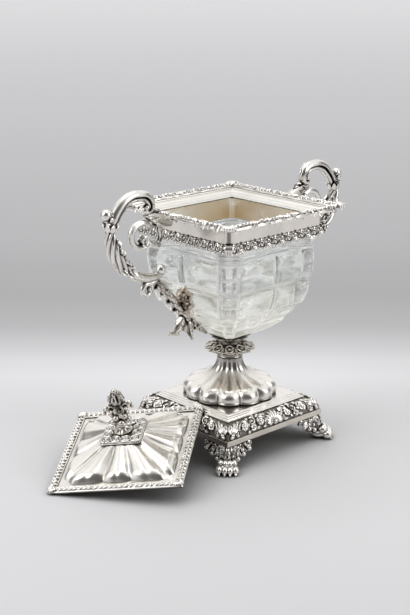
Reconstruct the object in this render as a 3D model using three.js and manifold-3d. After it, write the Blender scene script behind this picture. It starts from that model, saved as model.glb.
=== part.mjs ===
// Sweetmeat box: a cut-glass bowl in a silver mount on a square footed stand, its lid taken off.
// Millimetres, +Z up. X runs through the two handles. The origin is under the middle of the
// whole set as it stands, so the floor is Z = 0.
import * as THREE from 'three';
import { mergeVertices } from 'three/addons/utils/BufferGeometryUtils.js';
import Module from 'manifold-3d';

const wasm = await Module();
wasm.setup();

// Fits
const gap = 0.3;              // between pieces that touch
const rodClearance = 0.35;    // round a rod in its hole
const sheet = 1.2;            // rolled silver

// Stand
const plinthHalf = 57.6;      // half the side of the plinth's lower fillet
const footHeight = 21.6;      // floor to the plinth's underside
const filletHeight = 5;
const filletWall = 1.8;
const friezeRise = 10.6;      // height of the ornamented band on the plinth
const friezeInset = 10.2;     // how far that band draws in over its height
const friezeThickness = 2;
const stepRise = 4.8;         // height of the stepped mouldings above it
const stepCount = 4;
const platformHalf = 39.6;    // flat top of the plinth
const platformThickness = 1.6;
const toeOverhang = 9;        // paw toe tips past the plinth, along X and along Y
const toeRadius = 2.9;
const toeHeight = 2.3;        // floor to the middle of a toe
const toeSpacing = 4.4;
const knuckleRadius = 2.8;
const knuckleHeight = 6.3;
const pawRadius = 9.4;
const toeReach = plinthHalf + toeOverhang;
const heelAt = toeReach - pawRadius - 1.2;
const legRadius = 6;
const wingLength = 27;        // foliage from a plinth corner along each side
const wingHeight = 12.5;
const wingThickness = 3.2;

// Pedestal
const lobeCount = 12;
const domeRadius = 40.2;      // widest part of the lobed pedestal
const domeFootRadius = 37.4;
const domeHeight = 32.7;
const neckRadius = 10.4;
const domeWall = 1.6;
const collarLeaves = 10;
const collarRadius = 22.6;
const collarHeight = 14;
const cupLeaves = 8;
const cupRadius = 18.8;
const cupHeight = 6.1;
const rodRadius = 3;
const washerRadius = 9;
const washerThickness = 1.4;
const nutRadius = 6;
const nutHeight = 5;
const rodTail = 2;            // thread showing below its nut
const rodSocket = 4;          // depth of the rod's seat in the cup

// Glass bowl
const bowlSwell = 12;         // widest row of cut blocks past the mouth
const bowlHeight = 94;
const cornerCut = 12;         // side of the cut that takes each upright corner off
const grooveHalfWidth = 3.4;  // upright groove between two columns of blocks
const grooveDepth = 2.6;
const wellInset = 0.7;        // hollow of the bowl inside the mouth
const wellFloor = 14;         // glass left under the hollow

// Mount on the bowl
const bandSetback = 11.6;     // band past the mouth
const bandHeight = 18;
const bandCorner = 4.8;
const bandLap = 4.6;          // band over glass
const leafBandHeight = 8.4;
const leafBandThickness = 1.5;
const mouthHalf = 44.1;       // opening that the lid's bezel drops into
const linerWall = 0.8;
const rimRise = 5;            // mouth to the flare's outer edge
const lidFlange = 11.8;       // the lid's edge past the mouth
const lidClearance = 0.6;     // round the lid in its seat
const flareWidth = 7.5;       // flare past the lid's seat
const borderWidth = 4.4;      // cast border past the flare, between its leaves
const leafSpring = 1.6;       // how far a border leaf stands out
const leavesPerSide = 11;
const cornerTip = 1.4;

// Handles
const scrollRadius = 4.6;
const thumbBallRadius = 4.3;
const curlRadius = 2.8;
const curlRingRadius = 9.6;
const rosetteRadius = 4.2;
const bracketWidth = 7;
const strapWidth = 10;
const strapThickness = 3;
const strapTipRise = 5.6;     // strap's tip above the foot of the glass
const leafWidth = 2.6;        // half the width of a hanging leaf, in its own thicknesses
const flowerHalfWidth = 9.5;
const flowerHalfHeight = 11.5;
const flowerThickness = 3.2;

// Lid
const lidSheet = 1;
const lidBorderSetback = 2.8; // plain flange between the lobes and the border
const lidBorderThickness = 1.5;
const lobeLap = 2.4;          // outer ends of the lobes past the mouth
const lidRise = 17;           // flange to the crown of the lobes
const lidLobes = 12;
const crownRadius = 15.2;
const bezelClearance = 0.7;   // bezel to mouth
const bezelDepth = 4;
const bezelWall = 1;
const rosettePlateHalf = 15.5;
const rosettePlateThickness = 2.4;
const finialHeight = 39.5;    // above the rosette plate
const finialRodRadius = 2;
const lidHeading = -8.1;      // degrees, of the lid's lower diagonal from the X axis
const lidRoll = 3.7;          // degrees, about that diagonal
const lidRestAlong = -12.7;   // where its raised corner lies along the plinth

// Half sides that follow from the mouth outwards
const wellHalf = mouthHalf - wellInset;
const bowlHalf = mouthHalf + bowlSwell;
const bandHalf = mouthHalf + bandSetback;
const lidPanelHalf = mouthHalf + lobeLap;
const lidHalf = mouthHalf + lidFlange;
const flareHalf = lidHalf + lidClearance + flareWidth;
const rimHalf = flareHalf + borderWidth;

// Heights, from the floor up
const filletTop = footHeight + filletHeight;
const friezeTop = filletTop + friezeRise;
const platformTop = friezeTop + stepRise;
const domeBottom = platformTop + gap;
const domeTop = domeBottom + domeHeight;
const collarBottom = domeTop + gap;
const cupBottom = collarBottom + collarHeight + gap;
const bowlBottom = cupBottom + cupHeight + gap;
const bowlTop = bowlBottom + bowlHeight;
const bandBottom = bowlTop - bandLap;
const bandTop = bandBottom + bandHeight;
const rimTop = bandTop + rimRise;

const TAU = 2 * Math.PI;
const radians = THREE.MathUtils.degToRad;
const silver = { color: 0xd8d5cf, roughness: 0.26, metalness: 1 };
const gilt = { color: 0xc8a877, roughness: 0.34, metalness: 1 };
const glass = { color: 0xe4edf0, roughness: 0.04, metalness: 0 };
const steel = { color: 0x9c9a96, roughness: 0.45, metalness: 1 };

const set = new THREE.Group();
const stand = new THREE.Group();
const lid = new THREE.Group();
set.add(stand, lid);

// Name a geometry, give it its finish and put it in a group
function place(group, name, geometry, finish) {
  const mesh = new THREE.Mesh(geometry, new THREE.MeshStandardMaterial(finish));
  mesh.name = name;
  group.add(mesh);
  return mesh;
}

// Turn every triangle over where a closed surface encloses a negative volume
function faceOut(geometry) {
  const p = geometry.attributes.position;
  const index = geometry.index.array;
  const [a, b, c] = [new THREE.Vector3(), new THREE.Vector3(), new THREE.Vector3()];
  let volume = 0;
  for (let i = 0; i < index.length; i += 3) {
    a.fromBufferAttribute(p, index[i]);
    b.fromBufferAttribute(p, index[i + 1]);
    c.fromBufferAttribute(p, index[i + 2]);
    volume += a.dot(b.cross(c));
  }
  if (volume < 0) {
    for (let i = 0; i < index.length; i += 3) [index[i], index[i + 1]] = [index[i + 1], index[i]];
  }
  geometry.computeVertexNormals();
  return geometry;
}

// Skin closed loops of points into a solid, its ends joined to each other or capped flat
function skin(loops, joined = false) {
  const count = loops[0].length;
  const points = loops.flat();
  const index = [];
  const quad = (i, k, j) => {
    const next = (j + 1) % count;
    index.push(i + j, i + next, k + next, i + j, k + next, k + j);
  };
  for (let i = 0; i < loops.length - (joined ? 0 : 1); i++) {
    for (let j = 0; j < count; j++) quad(i * count, ((i + 1) % loops.length) * count, j);
  }
  if (!joined) {
    for (const [first, flip] of [[0, true], [(loops.length - 1) * count, false]]) {
      const centre = new THREE.Vector3();
      for (let j = 0; j < count; j++) centre.addScaledVector(points[first + j], 1 / count);
      points.push(centre);
      for (let j = 0; j < count; j++) {
        const edge = [first + j, first + (j + 1) % count];
        if (flip) edge.reverse();
        index.push(points.length - 1, ...edge);
      }
    }
  }
  const geometry = new THREE.BufferGeometry().setFromPoints(points);
  geometry.setIndex(index);
  return faceOut(geometry);
}

// A round body from radius and height pairs that start and end on the axis or close on themselves
function turned(profile, sides = 24) {
  const points = profile.map(([r, z]) => new THREE.Vector2(r, z));
  return welded(new THREE.LatheGeometry(points, sides).rotateX(Math.PI / 2));
}

// The same surface with its shared points merged and its faces out
function welded(geometry) {
  const bare = geometry.clone();
  bare.deleteAttribute('normal');
  bare.deleteAttribute('uv');
  return faceOut(mergeVertices(bare, 1e-4));
}

// A solid for cutting and joining
function solid(geometry) {
  const whole = welded(geometry);
  return new wasm.Manifold(new wasm.Mesh({
    numProp: 3,
    vertProperties: new Float32Array(whole.attributes.position.array),
    triVerts: new Uint32Array(whole.index.array),
  }));
}

// The geometry of a solid that was cut or joined
function shape(body) {
  const mesh = body.getMesh();
  const geometry = new THREE.BufferGeometry();
  geometry.setAttribute('position', new THREE.BufferAttribute(mesh.vertProperties, 3));
  geometry.setIndex(new THREE.BufferAttribute(mesh.triVerts, 1));
  geometry.computeVertexNormals();
  return geometry;
}

const joinAll = (geometries) => geometries.map(solid).reduce((sum, next) => sum.add(next));
const joined = (geometries) => shape(joinAll(geometries));

// A ball stretched along the three axes
function ball(x, y, z, rx, ry = rx, rz = rx, sides = 10) {
  const geometry = new THREE.SphereGeometry(1, sides, Math.round(sides * 0.7));
  geometry.scale(rx, ry, rz).translate(x, y, z);
  return geometry;
}

// Square loop with its corners cut, the points of each side spread evenly
function squareLoop(half, z, cut = 0, perSide = 1) {
  const loop = [];
  const reach = half - cut;
  for (let side = 0; side < 4; side++) {
    const steps = cut > 0 ? perSide + 1 : perSide;
    for (let i = 0; i < steps; i++) {
      const along = -reach + 2 * reach * i / perSide;
      const point = new THREE.Vector3(along, -half, z);
      loop.push(point.applyAxisAngle(new THREE.Vector3(0, 0, 1), side * Math.PI / 2));
    }
  }
  return loop;
}

// Round loop whose points match a squareLoop of four times perSide points
function roundLoop(radius, z, perSide) {
  return Array.from({ length: 4 * perSide }, (_, i) => {
    const angle = -0.75 * Math.PI + i * TAU / (4 * perSide);
    return new THREE.Vector3(radius * Math.cos(angle), radius * Math.sin(angle), z);
  });
}

// Loop with swelling lobes: depth is the share of the radius lost in the creases
function lobedLoop(radius, z, lobes, depth, perLobe = 4, turn = 0) {
  return Array.from({ length: lobes * perLobe }, (_, i) => {
    const angle = i * TAU / (lobes * perLobe);
    const swell = Math.abs(Math.cos(lobes * angle / 2));
    const r = radius * (1 - depth * (1 - swell));
    return new THREE.Vector3(r * Math.cos(angle + turn), r * Math.sin(angle + turn), z);
  });
}

// Round bar along a flat path of distance and height points, with a radius at each place on it
function bar(path, radiusAt, steps, sides = 8, widthAt = () => 1) {
  const curve = new THREE.CatmullRomCurve3(path.map(([d, z]) => new THREE.Vector3(d, 0, z)));
  const loops = [];
  for (let i = 0; i <= steps; i++) {
    const t = i / steps;
    const centre = curve.getPointAt(t);
    const along = curve.getTangentAt(t);
    const across = new THREE.Vector3(-along.z, 0, along.x);
    loops.push(Array.from({ length: sides }, (_, k) => {
      const angle = (k + 0.5) * TAU / sides;
      const point = centre.clone().addScaledVector(across, radiusAt(t) * Math.cos(angle));
      point.y = radiusAt(t) * widthAt(t) * Math.sin(angle);
      return point;
    }));
  }
  return skin(loops);
}

// Straight-line values between stops of place and value
function between(stops) {
  return (t) => {
    const i = Math.max(1, stops.findIndex(([at]) => at >= t));
    const [[a, from], [b, to]] = [stops[i - 1], stops[i]];
    return THREE.MathUtils.mapLinear(THREE.MathUtils.clamp(t, a, b), a, b, from, to);
  };
}

// Outline of the plinth's ornamented band, from its foot up, drawn in by an amount
function friezeCurve(inset, bottom, top) {
  const foot = plinthHalf - 0.7 - inset;
  const curve = new THREE.QuadraticBezierCurve(
    new THREE.Vector2(foot, bottom),
    new THREE.Vector2(foot - 0.5, bottom + 0.7 * friezeRise),
    new THREE.Vector2(foot - friezeInset + 0.7, top));
  return curve.getPoints(5).map((point) => [point.x, point.y]);
}

// Plinth frame: the plain fillet and the sloping wall that carries the ornamented strips
function plinthFrame() {
  const back = friezeThickness + gap;
  const outer = friezeCurve(back, filletTop, friezeTop);
  const inner = friezeCurve(back + sheet, filletTop - sheet, friezeTop).reverse();
  const profile = [
    [plinthHalf, footHeight], [plinthHalf, filletTop], ...outer, ...inner,
    [plinthHalf - filletWall, filletTop - sheet - 0.4], [plinthHalf - filletWall, footHeight],
  ];
  return skin(profile.map(([half, z]) => squareLoop(half, z)), true);
}

// One die-struck strip of the plinth's ornamented band, mitred at the corners
function friezeStrip() {
  const front = friezeCurve(0, filletTop + gap, friezeTop + gap);
  const back = friezeCurve(friezeThickness, filletTop + gap, friezeTop + gap);
  return skin(front.map(([outer, z], i) => {
    const [inner] = back[i];
    return [[-1, outer], [1, outer], [1, inner], [-1, inner]].map(
      ([side, half]) => new THREE.Vector3(side * (half - gap), -half, z));
  }));
}

// Half side and top height of one of the plinth's stepped mouldings, counted from the outside
function plinthStep(i) {
  const outer = plinthHalf - friezeInset - 0.6;
  return [outer - (outer - platformHalf) * i / stepCount,
    friezeTop + stepRise * (Math.floor(i) + 1) / stepCount];
}

// Plinth top: stepped mouldings round a flat platform, with a hole for the rod
function plinthTop() {
  const base = friezeTop + 2 * gap;
  const [outer] = plinthStep(0);
  const steps = [[outer, base]];
  for (let i = 0; i < stepCount; i++) {
    const [half, height] = plinthStep(i);
    steps.push([half, height - 0.25 * stepRise / stepCount], [plinthStep(i + 0.75)[0], height]);
  }
  const hole = (rodRadius + rodClearance) / Math.cos(Math.PI / 8);
  const under = platformTop - platformThickness;
  const loops = steps.map(([half, z]) => squareLoop(half, z, 0, 2));
  loops.push(roundLoop(hole, platformTop, 2), roundLoop(hole, under, 2));
  loops.push(squareLoop(platformHalf - 2, under, 0, 2), squareLoop(outer - sheet * 2, base, 0, 2));
  return skin(loops, true);
}

// Leg of a foot, from the paw up and in to the plinth's underside, thickened by an amount
function footLeg(extra = 0) {
  const turn = new THREE.Vector3(0, 0, 1);
  const stations = [[heelAt, pawRadius * 0.45, 1.1], [heelAt - 3.2, footHeight * 0.5, 0.96],
    [heelAt - 5.8, footHeight * 0.72, 0.96], [heelAt - 6.6, footHeight - gap + extra, 1.1]];
  return skin(stations.map(([at, z, share]) => roundLoop(legRadius * share + extra, 0, 2)
    .map((point) => point.applyAxisAngle(turn, Math.PI / 4).add(new THREE.Vector3(at, at, z)))));
}

// Lion's paw with two rows of knuckles and a flat sole, its leg under one plinth corner
function pawFoot() {
  const half = pawRadius * 0.94;
  const sole = ball(heelAt, heelAt, pawRadius * 0.44, half, half, pawRadius * 0.52, 8);
  const parts = [footLeg(), sole];
  for (const count of [-1.5, -0.5, 0.5, 1.5]) {
    const aside = count * toeSpacing * Math.SQRT1_2;
    const tip = toeReach - toeRadius * 1.1 - Math.abs(aside) * 0.4;
    const knuckle = tip - toeRadius * 0.9;
    parts.push(ball(tip - aside, tip + aside, toeHeight, toeRadius, toeRadius, toeRadius, 6));
    parts.push(ball(knuckle - aside * 0.86, knuckle + aside * 0.86, knuckleHeight,
      knuckleRadius, knuckleRadius, knuckleRadius, 6));
  }
  const below = new THREE.BoxGeometry(4 * pawRadius, 4 * pawRadius, pawRadius)
    .translate(heelAt, heelAt, -pawRadius / 2);
  return shape(joinAll(parts).subtract(solid(below)));
}

// Foliage spreading both ways under a plinth corner, cut to clear the leg
function footFoliage() {
  const corner = plinthHalf - 0.2;
  const outline = new THREE.Shape();
  outline.moveTo(0, 0);
  outline.lineTo(-wingLength, 0);
  outline.quadraticCurveTo(-wingLength, -wingHeight / 2, -wingLength * 0.6, -wingHeight / 2);
  outline.quadraticCurveTo(-wingLength * 0.4, -wingHeight, 0, -wingHeight);
  const panel = new THREE.ExtrudeGeometry(outline,
    { depth: wingThickness, bevelEnabled: false, curveSegments: 4 }).rotateX(Math.PI / 2);
  panel.translate(corner, corner, footHeight - gap);
  const swapXY = new THREE.Matrix4().set(0, 1, 0, 0, 1, 0, 0, 0, 0, 0, 1, 0, 0, 0, 0, 1);
  return shape(joinAll([panel, panel.clone().applyMatrix4(swapXY)]).subtract(solid(footLeg(gap + 0.1))));
}

// Shell of the pedestal: swelling lobes drawn up into a fluted neck
function pedestalDome() {
  const rise = (share) => domeBottom + share * domeHeight;
  const outer = [
    [domeFootRadius, rise(0), 0.07], [domeRadius * 0.975, rise(0.05), 0.09],
    [domeRadius, rise(0.12), 0.1], [domeRadius * 0.965, rise(0.22), 0.1],
    [domeRadius * 0.84, rise(0.32), 0.1], [domeRadius * 0.65, rise(0.405), 0.1],
    [domeRadius * 0.49, rise(0.5), 0.1], [domeRadius * 0.385, rise(0.61), 0.1],
    [domeRadius * 0.315, rise(0.73), 0.1], [neckRadius * 1.1, rise(0.87), 0.1],
    [neckRadius, rise(1), 0.09],
  ];
  const inner = outer.filter((_, i) => i % 2).reverse()
    .map(([r, z, depth]) => [r * (1 - depth) - domeWall, z]);
  const lobes = ([r, z, depth]) => lobedLoop(r, z, lobeCount, depth, 4, Math.PI / 4);
  const foot = [domeFootRadius * 0.93 - domeWall, domeBottom];
  return skin([...outer.map(lobes), ...[...inner, foot].map(([r, z]) => lobes([r, z, 0]))], true);
}

// Ring of leaves that curl out and down round the top of the pedestal
function leafCollar() {
  const r = collarRadius;
  const hole = rodRadius + rodClearance;
  const at = (share) => collarBottom + share * collarHeight;
  const profile = [
    [neckRadius * 1.04, at(0), 0], [r * 0.55, at(0.03), 0.05], [r * 0.72, at(0.2), 0.1],
    [r * 0.95, at(0.46), 0.16], [r, at(0.56), 0.17], [r * 0.97, at(0.66), 0.16],
    [r * 0.84, at(0.9), 0.08], [r * 0.62, at(0.98), 0.03], [neckRadius * 0.92, at(1), 0],
    [hole, at(1), 0], [hole, at(0), 0],
  ];
  return skin(profile.map(([size, z, depth]) => lobedLoop(size, z, collarLeaves, depth)), true);
}

// Calyx under the glass, with a blind seat for the rod
function calyxCup() {
  const r = cupRadius;
  const hole = rodRadius + rodClearance;
  const at = (share) => cupBottom + share * cupHeight;
  const profile = [
    [hole, cupBottom + rodSocket, 0], [hole, at(0), 0], [neckRadius * 0.9, at(0), 0],
    [r * 0.55, at(0.25), 0.04], [r * 0.75, at(0.62), 0.09], [r, at(0.92), 0.14],
    [r * 0.99, at(1), 0.14],
  ];
  return skin(profile.map(([size, z, depth]) => lobedLoop(size, z, cupLeaves, depth)));
}

// Rod, washer and nut that draw the pedestal together
function pedestalRod() {
  const top = cupBottom + rodSocket - gap;
  const bottom = platformTop - platformThickness - washerThickness - nutHeight - rodTail - 3 * gap;
  return turned([[0, bottom], [rodRadius, bottom], [rodRadius, top], [0, top]], 12);
}

// Flat ring that clears a round rod: a washer with many sides, a nut with six
function ringOf(hole, outer, bottom, height, sides) {
  const top = bottom + height;
  const inner = hole / Math.cos(Math.PI / sides);
  const profile = [[inner, bottom], [outer, bottom], [outer, top], [inner, top], [inner, bottom]];
  return turned(profile, sides);
}

// Sections of the glass from its foot up: height, half side, corner cut and groove as shares
function bowlSections() {
  const rows = [
    [0, 0.214, 0.33, 0], [0.006, 0.276, 0.35, 0.3], [0.074, 0.481, 0.42, 0.6],
    [0.149, 0.633, 0.5, 0.8], [0.185, 0.645, 0.54, 0.8], [0.236, 0.731, 0.62, 1],
    [0.297, 0.791, 0.71, 1], [0.315, 0.786, 0.75, 0.6], [0.327, 0.87, 0.83, 1],
    [0.345, 0.882, 0.85, 1], [0.438, 0.929, 0.92, 1], [0.528, 0.952, 0.96, 1],
    [0.548, 0.914, 0.96, 0.5], [0.563, 0.914, 0.98, 0.5], [0.585, 0.968, 1, 1],
    [0.612, 0.978, 1, 1], [0.741, 1, 1, 1], [0.823, 0.991, 1, 1],
    [0.841, 0.964, 1, 0.3], [0.872, 0.97, 1, 0], [0.878, 0.955, 1, 0],
    [0.908, 0.966, 1, 0], [0.914, 0.955, 1, 0],
  ];
  const seat = bandHalf - sheet - gap;
  return [...rows.map(([up, side, cut, groove]) => [bowlBottom + up * bowlHeight,
    side * bowlHalf, cut * cornerCut, groove * grooveDepth]),
    [bandBottom - gap, seat, cornerCut, 0], [bowlTop, seat, cornerCut, 0]];
}

// Loop of the glass: cut corners, two columns a side and the groove between them
function bowlLoop(z, half, cut, groove) {
  const reach = half - cut;
  const width = Math.min(grooveHalfWidth, reach * 0.5);
  const crown = groove * 0.25;
  const side = [[-reach, 0], [-(reach + width) / 2, crown], [-width, 0], [0, -groove],
    [width, 0], [(reach + width) / 2, crown], [reach, 0]];
  const axis = new THREE.Vector3(0, 0, 1);
  return [0, 1, 2, 3].flatMap((turn) => side.map(([along, out]) =>
    new THREE.Vector3(along, -(half + out), z).applyAxisAngle(axis, turn * Math.PI / 2)));
}

// Cut-glass bowl: thick walls, rows of blocks outside, a smooth well inside
function glassBowl() {
  const ledge = bandBottom - gap;
  const linerSeat = mouthHalf + linerWall + gap;
  const floor = bowlBottom + wellFloor;
  const well = [
    [bowlTop, linerSeat], [ledge, linerSeat], [ledge, wellHalf], [floor + 42, wellHalf * 0.93],
    [floor + 16, wellHalf * 0.7], [floor + 4, wellHalf * 0.4], [floor, wellHalf * 0.2],
  ];
  const outside = bowlSections().map(([z, half, cut, groove]) => bowlLoop(z, half, cut, groove));
  const inside = well.map(([z, half]) => bowlLoop(z, half, half * 0.08, 0));
  return skin([...outside, ...inside]);
}

// Half the side of the glass at a height, for what lies against it
function bowlHalfAt(z) {
  return between(bowlSections().map(([height, half]) => [height, half]))(z);
}

// Plain upright band round the glass
function collarBand() {
  const profile = [[bandHalf, bandBottom], [bandHalf, bandTop], [bandHalf - sheet, bandTop],
    [bandHalf - sheet, bandBottom]];
  return skin(profile.map(([half, z]) => squareLoop(half, z, bandCorner)), true);
}

// Die-rolled leaf strip round the foot of the band
function leafBand() {
  const inner = bandHalf + gap;
  const outer = inner + leafBandThickness;
  const top = bandBottom + leafBandHeight;
  const profile = [[inner, bandBottom], [outer - 0.4, bandBottom], [outer, bandBottom + 1.2],
    [outer, top - 1.2], [outer - 0.4, top], [inner, top]];
  return skin(profile.map(([half, z]) => squareLoop(half, z, bandCorner + 0.2)), true);
}

// Gilt lining from the mouth down into the glass
function mouthLiner() {
  const outer = mouthHalf + linerWall;
  const profile = [[outer, bandBottom], [outer, bandTop - gap], [mouthHalf, bandTop - gap],
    [mouthHalf, bandBottom]];
  return skin(profile.map(([half, z]) => squareLoop(half, z, mouthHalf * 0.08)), true);
}

// Flared rim: a flat seat for the lid's flange, then steps up to the border
function rimFlare() {
  const width = flareHalf - mouthHalf;
  const rise = rimRise - sheet;
  const seat = (lidHalf + lidClearance - mouthHalf) / width;
  const top = [[0, 0], [0.04, 0.14], [0.36, 0.14], [0.38, 0.26], [seat, 0.26],
    [seat + 0.03, 0.55], [seat + 0.16, 0.62], [seat + 0.19, 0.86], [1, 1]];
  const upper = top.map(([out, up]) => [mouthHalf + out * width, bandTop + sheet + up * rise]);
  const under = [[flareHalf, rimTop - sheet], [bandHalf + sheet, bandTop + gap],
    [mouthHalf, bandTop + gap]];
  return skin([...upper, ...under].map(([half, z]) => squareLoop(half, z)), true);
}

// Cast border of leaves round the rim, with a shell at each corner and mid side
function rimBorder() {
  const perSide = leavesPerSide * 2;
  const shell = (share) => Math.max(0, 1 - Math.min(share, 1 - share, Math.abs(share - 0.5)) * 9);
  const profile = [
    [flareHalf + gap, rimTop - 0.9, 0, 0], [rimHalf - 1, rimTop - 0.7, 1, 0.2],
    [rimHalf, rimTop + 0.5, 1, 0.4], [rimHalf - 2.6, rimTop + 1.5, 0.6, 1],
    [flareHalf - 1.4, rimTop + gap, 0, 0],
    [flareHalf + gap, rimTop + gap, 0, 0],
  ];
  const loops = profile.map(([half, z, spring, lift]) => squareLoop(half, z, 0, perSide)
    .map((point, i) => {
      const share = (i % perSide) / perSide;
      const leaf = (i % 2 ? 1 : 0.2) * leafSpring * spring;
      const corner = i % perSide === 0 ? cornerTip * spring : 0;
      const out = 1 + (leaf * (1 - 0.4 * shell(share)) + corner) / half;
      point.x *= out;
      point.y *= out;
      point.z += lift * shell(share);
      return point;
    }));
  return skin(loops, true);
}

// Handle pieces lie in the XZ plane, their distances measured out from the bowl's axis.
// They hang from the rim, so every height is below or above its top edge.
const handleAt = (points) => points.map(([out, up]) => [rimHalf + out, rimTop + up]);
const scrollPath = handleAt([
  [10.4, -42.4], [12, -44.6], [17.4, -45.6], [26.6, -45.2], [40.2, -39.9], [51.4, -31],
  [58.4, -20.8], [61.6, -11.2], [61.8, 0.6], [55.5, 12.4], [48.2, 19.8], [40.1, 23.9],
  [33.2, 23.9], [26.6, 21.6], [22.2, 17.4], [20.9, 13], [23, 9.6], [26.2, 10.2], [27, 12.8],
]);

// Main scroll: a ball at its foot, a thick leafy belly, a plain arch and a volute
function handleScroll() {
  const radius = between([[0, 0.5], [0.04, 0.66], [0.1, 0.8], [0.2, 0.9], [0.32, 1.1], [0.42, 1.26],
    [0.5, 1.36], [0.56, 1.02], [0.68, 1], [0.8, 0.86], [0.9, 0.58], [1, 0.36]]);
  const [foot] = scrollPath;
  return joined([
    bar(scrollPath, (t) => scrollRadius * radius(t), 36, 8),
    ball(foot[0], 0, foot[1] + 0.6, scrollRadius * 0.9, scrollRadius * 0.9, scrollRadius * 0.9, 8),
  ]);
}

// Inner curl: an open ring with a rosette in its coil and a leaf bud at its tail
function innerCurl() {
  const [x, z] = [rimHalf + 32.4, rimTop - 8.4];
  const ring = Array.from({ length: 9 }, (_, i) => {
    const angle = radians(118 + i * 35);
    return [x - rimHalf + curlRingRadius * Math.cos(Math.PI - angle),
      z - rimTop + curlRingRadius * Math.sin(angle)];
  });
  const path = handleAt([[18.7, -4.9], [23.5, -2.7], ...ring.reverse().slice(1, 8)]);
  const tail = handleAt([[24.4, -14.8], [19, -18.2], [13.6, -19.4]]);
  return joined([
    bar(path, (t) => curlRadius * (1.15 - 0.35 * t), 18, 6),
    bar(tail, () => curlRadius * 0.7, 3, 6),
    ball(tail[2][0], 0, tail[2][1], curlRadius * 1.3, curlRadius * 1.3, curlRadius * 1.3, 6),
    ball(x - 3.4, 0, z - 5.4, rosetteRadius, rosetteRadius * 0.9, rosetteRadius, 8),
  ]);
}

// Bracket: a leafy tongue under the rim, from the band out to the volute
function rimBracket() {
  const inner = bandHalf + gap - rimHalf;
  const outline = new THREE.Shape();
  const points = [[inner, -5.8], [-5.2, -3.2], [-4.4, -1.7], [2, -1.3], [3.4, 0.6], [6.4, 3.4],
    [12, 5.8], [18.6, 7.4], [25.4, 7.2], [27, 5.2], [22.6, 1.4], [16, -2.2], [7.4, -5.2], [-2.6, -7.2],
    [inner, -9]];
  handleAt(points).forEach(([x, z], i) => (i ? outline.lineTo(x, z) : outline.moveTo(x, z)));
  const geometry = new THREE.ExtrudeGeometry(outline, { depth: bracketWidth, bevelEnabled: false });
  return geometry.rotateX(Math.PI / 2).translate(0, bracketWidth / 2, 0);
}

// Small scroll hanging under the main one
function lowerScroll() {
  const path = handleAt([[27.6, -49.4], [29.8, -54.2], [28.6, -58.8], [25, -60.6], [21.8, -58.6],
    [22.4, -55.4]]);
  return bar(path, (t) => 2 - 0.5 * t, 10, 6);
}

// Middle line of the strap: shares of the way from its tip on the glass up to the scroll's foot
function strapLine() {
  const tipHeight = bowlBottom + strapTipRise;
  const tip = [bowlHalfAt(tipHeight) + strapThickness, tipHeight];
  const [[toeOut, toeHeight]] = handleAt([[13.8, -49.6]]);
  const shares = [[1, 1], [0.875, 0.874], [0.773, 0.752], [0.67, 0.629], [0.571, 0.507],
    [0.473, 0.402], [0.366, 0.315], [0.271, 0.224], [0.19, 0.143], [0.09, 0.063], [0, 0]];
  return shares.map(([out, up]) => [THREE.MathUtils.lerp(tip[0], toeOut, out),
    THREE.MathUtils.lerp(tip[1], toeHeight, up)]);
}

// Strap from the scroll's foot down to the glass and along it towards the calyx
function handleStrap() {
  const half = strapThickness / 2;
  return bar(strapLine(), (t) => half * (1.25 - 0.45 * t), 14, 8,
    (t) => (strapWidth / strapThickness) * (1 - 0.25 * t));
}

// Flower of petals lying on the glass behind the strap
function strapFlower() {
  const back = bowlHalfAt(bowlBottom + 0.528 * bowlHeight) + gap + 0.1;
  const middle = bowlBottom + 0.442 * bowlHeight;
  const rings = [[0, 0.82, 0.2], [0.3, 1, 0.24], [0.65, 0.82, 0.24], [0.9, 0.5, 0.2], [1, 0.28, 0]];
  return skin(rings.map(([out, size, depth]) => lobedLoop(1, 0, 6, depth, 2).map((point) =>
    new THREE.Vector3(back + out * flowerThickness, point.x * size * flowerHalfWidth,
      middle + point.y * size * flowerHalfHeight))));
}

// Spray of three leaves hanging under the strap
function leafSpray() {
  const [x, z] = strapLine()[5];
  const leaf = (points, width, aside) => {
    const path = points.map(([out, up]) => [x + out, z + up]);
    const blade = bar(path, (t) => 0.5 + 0.7 * Math.sin(Math.PI * (0.25 + 0.7 * t)), 5, 6,
      (t) => width * (0.3 + 0.7 * Math.sin(Math.PI * (0.2 + 0.72 * t))));
    const p = blade.attributes.position;
    const top = path[0][1];
    for (let i = 0; i < p.count; i++) p.setY(i, p.getY(i) + aside * (top - p.getZ(i)));
    return blade;
  };
  return joined([
    leaf([[1, -3], [2, -9], [7, -12.8], [13, -11.2]], leafWidth, 0),
    leaf([[0.6, -3.4], [-1, -12.6], [-2, -20.2]], leafWidth, 0.3),
    leaf([[0.2, -3.6], [-4.2, -12.6], [-8.8, -19.6]], leafWidth, -0.3),
  ]);
}

// Both handles, one turned half round from the other
function addHandles() {
  const pieces = {
    scroll: handleScroll(), inner_curl: innerCurl(), rim_bracket: rimBracket(),
    thumb_ball: ball(rimHalf + 66.3, 0, rimTop + 12.4, thumbBallRadius, thumbBallRadius,
      thumbBallRadius, 8),
    lower_scroll: lowerScroll(), strap: handleStrap(), flower: strapFlower(), leaf_spray: leafSpray(),
  };
  for (const [side, turn] of [['right', 0], ['left', Math.PI]]) {
    for (const [name, geometry] of Object.entries(pieces)) {
      const mesh = place(stand, `${side}_handle_${name}`, geometry.clone(), silver);
      mesh.rotation.z = turn;
    }
  }
}

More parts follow.
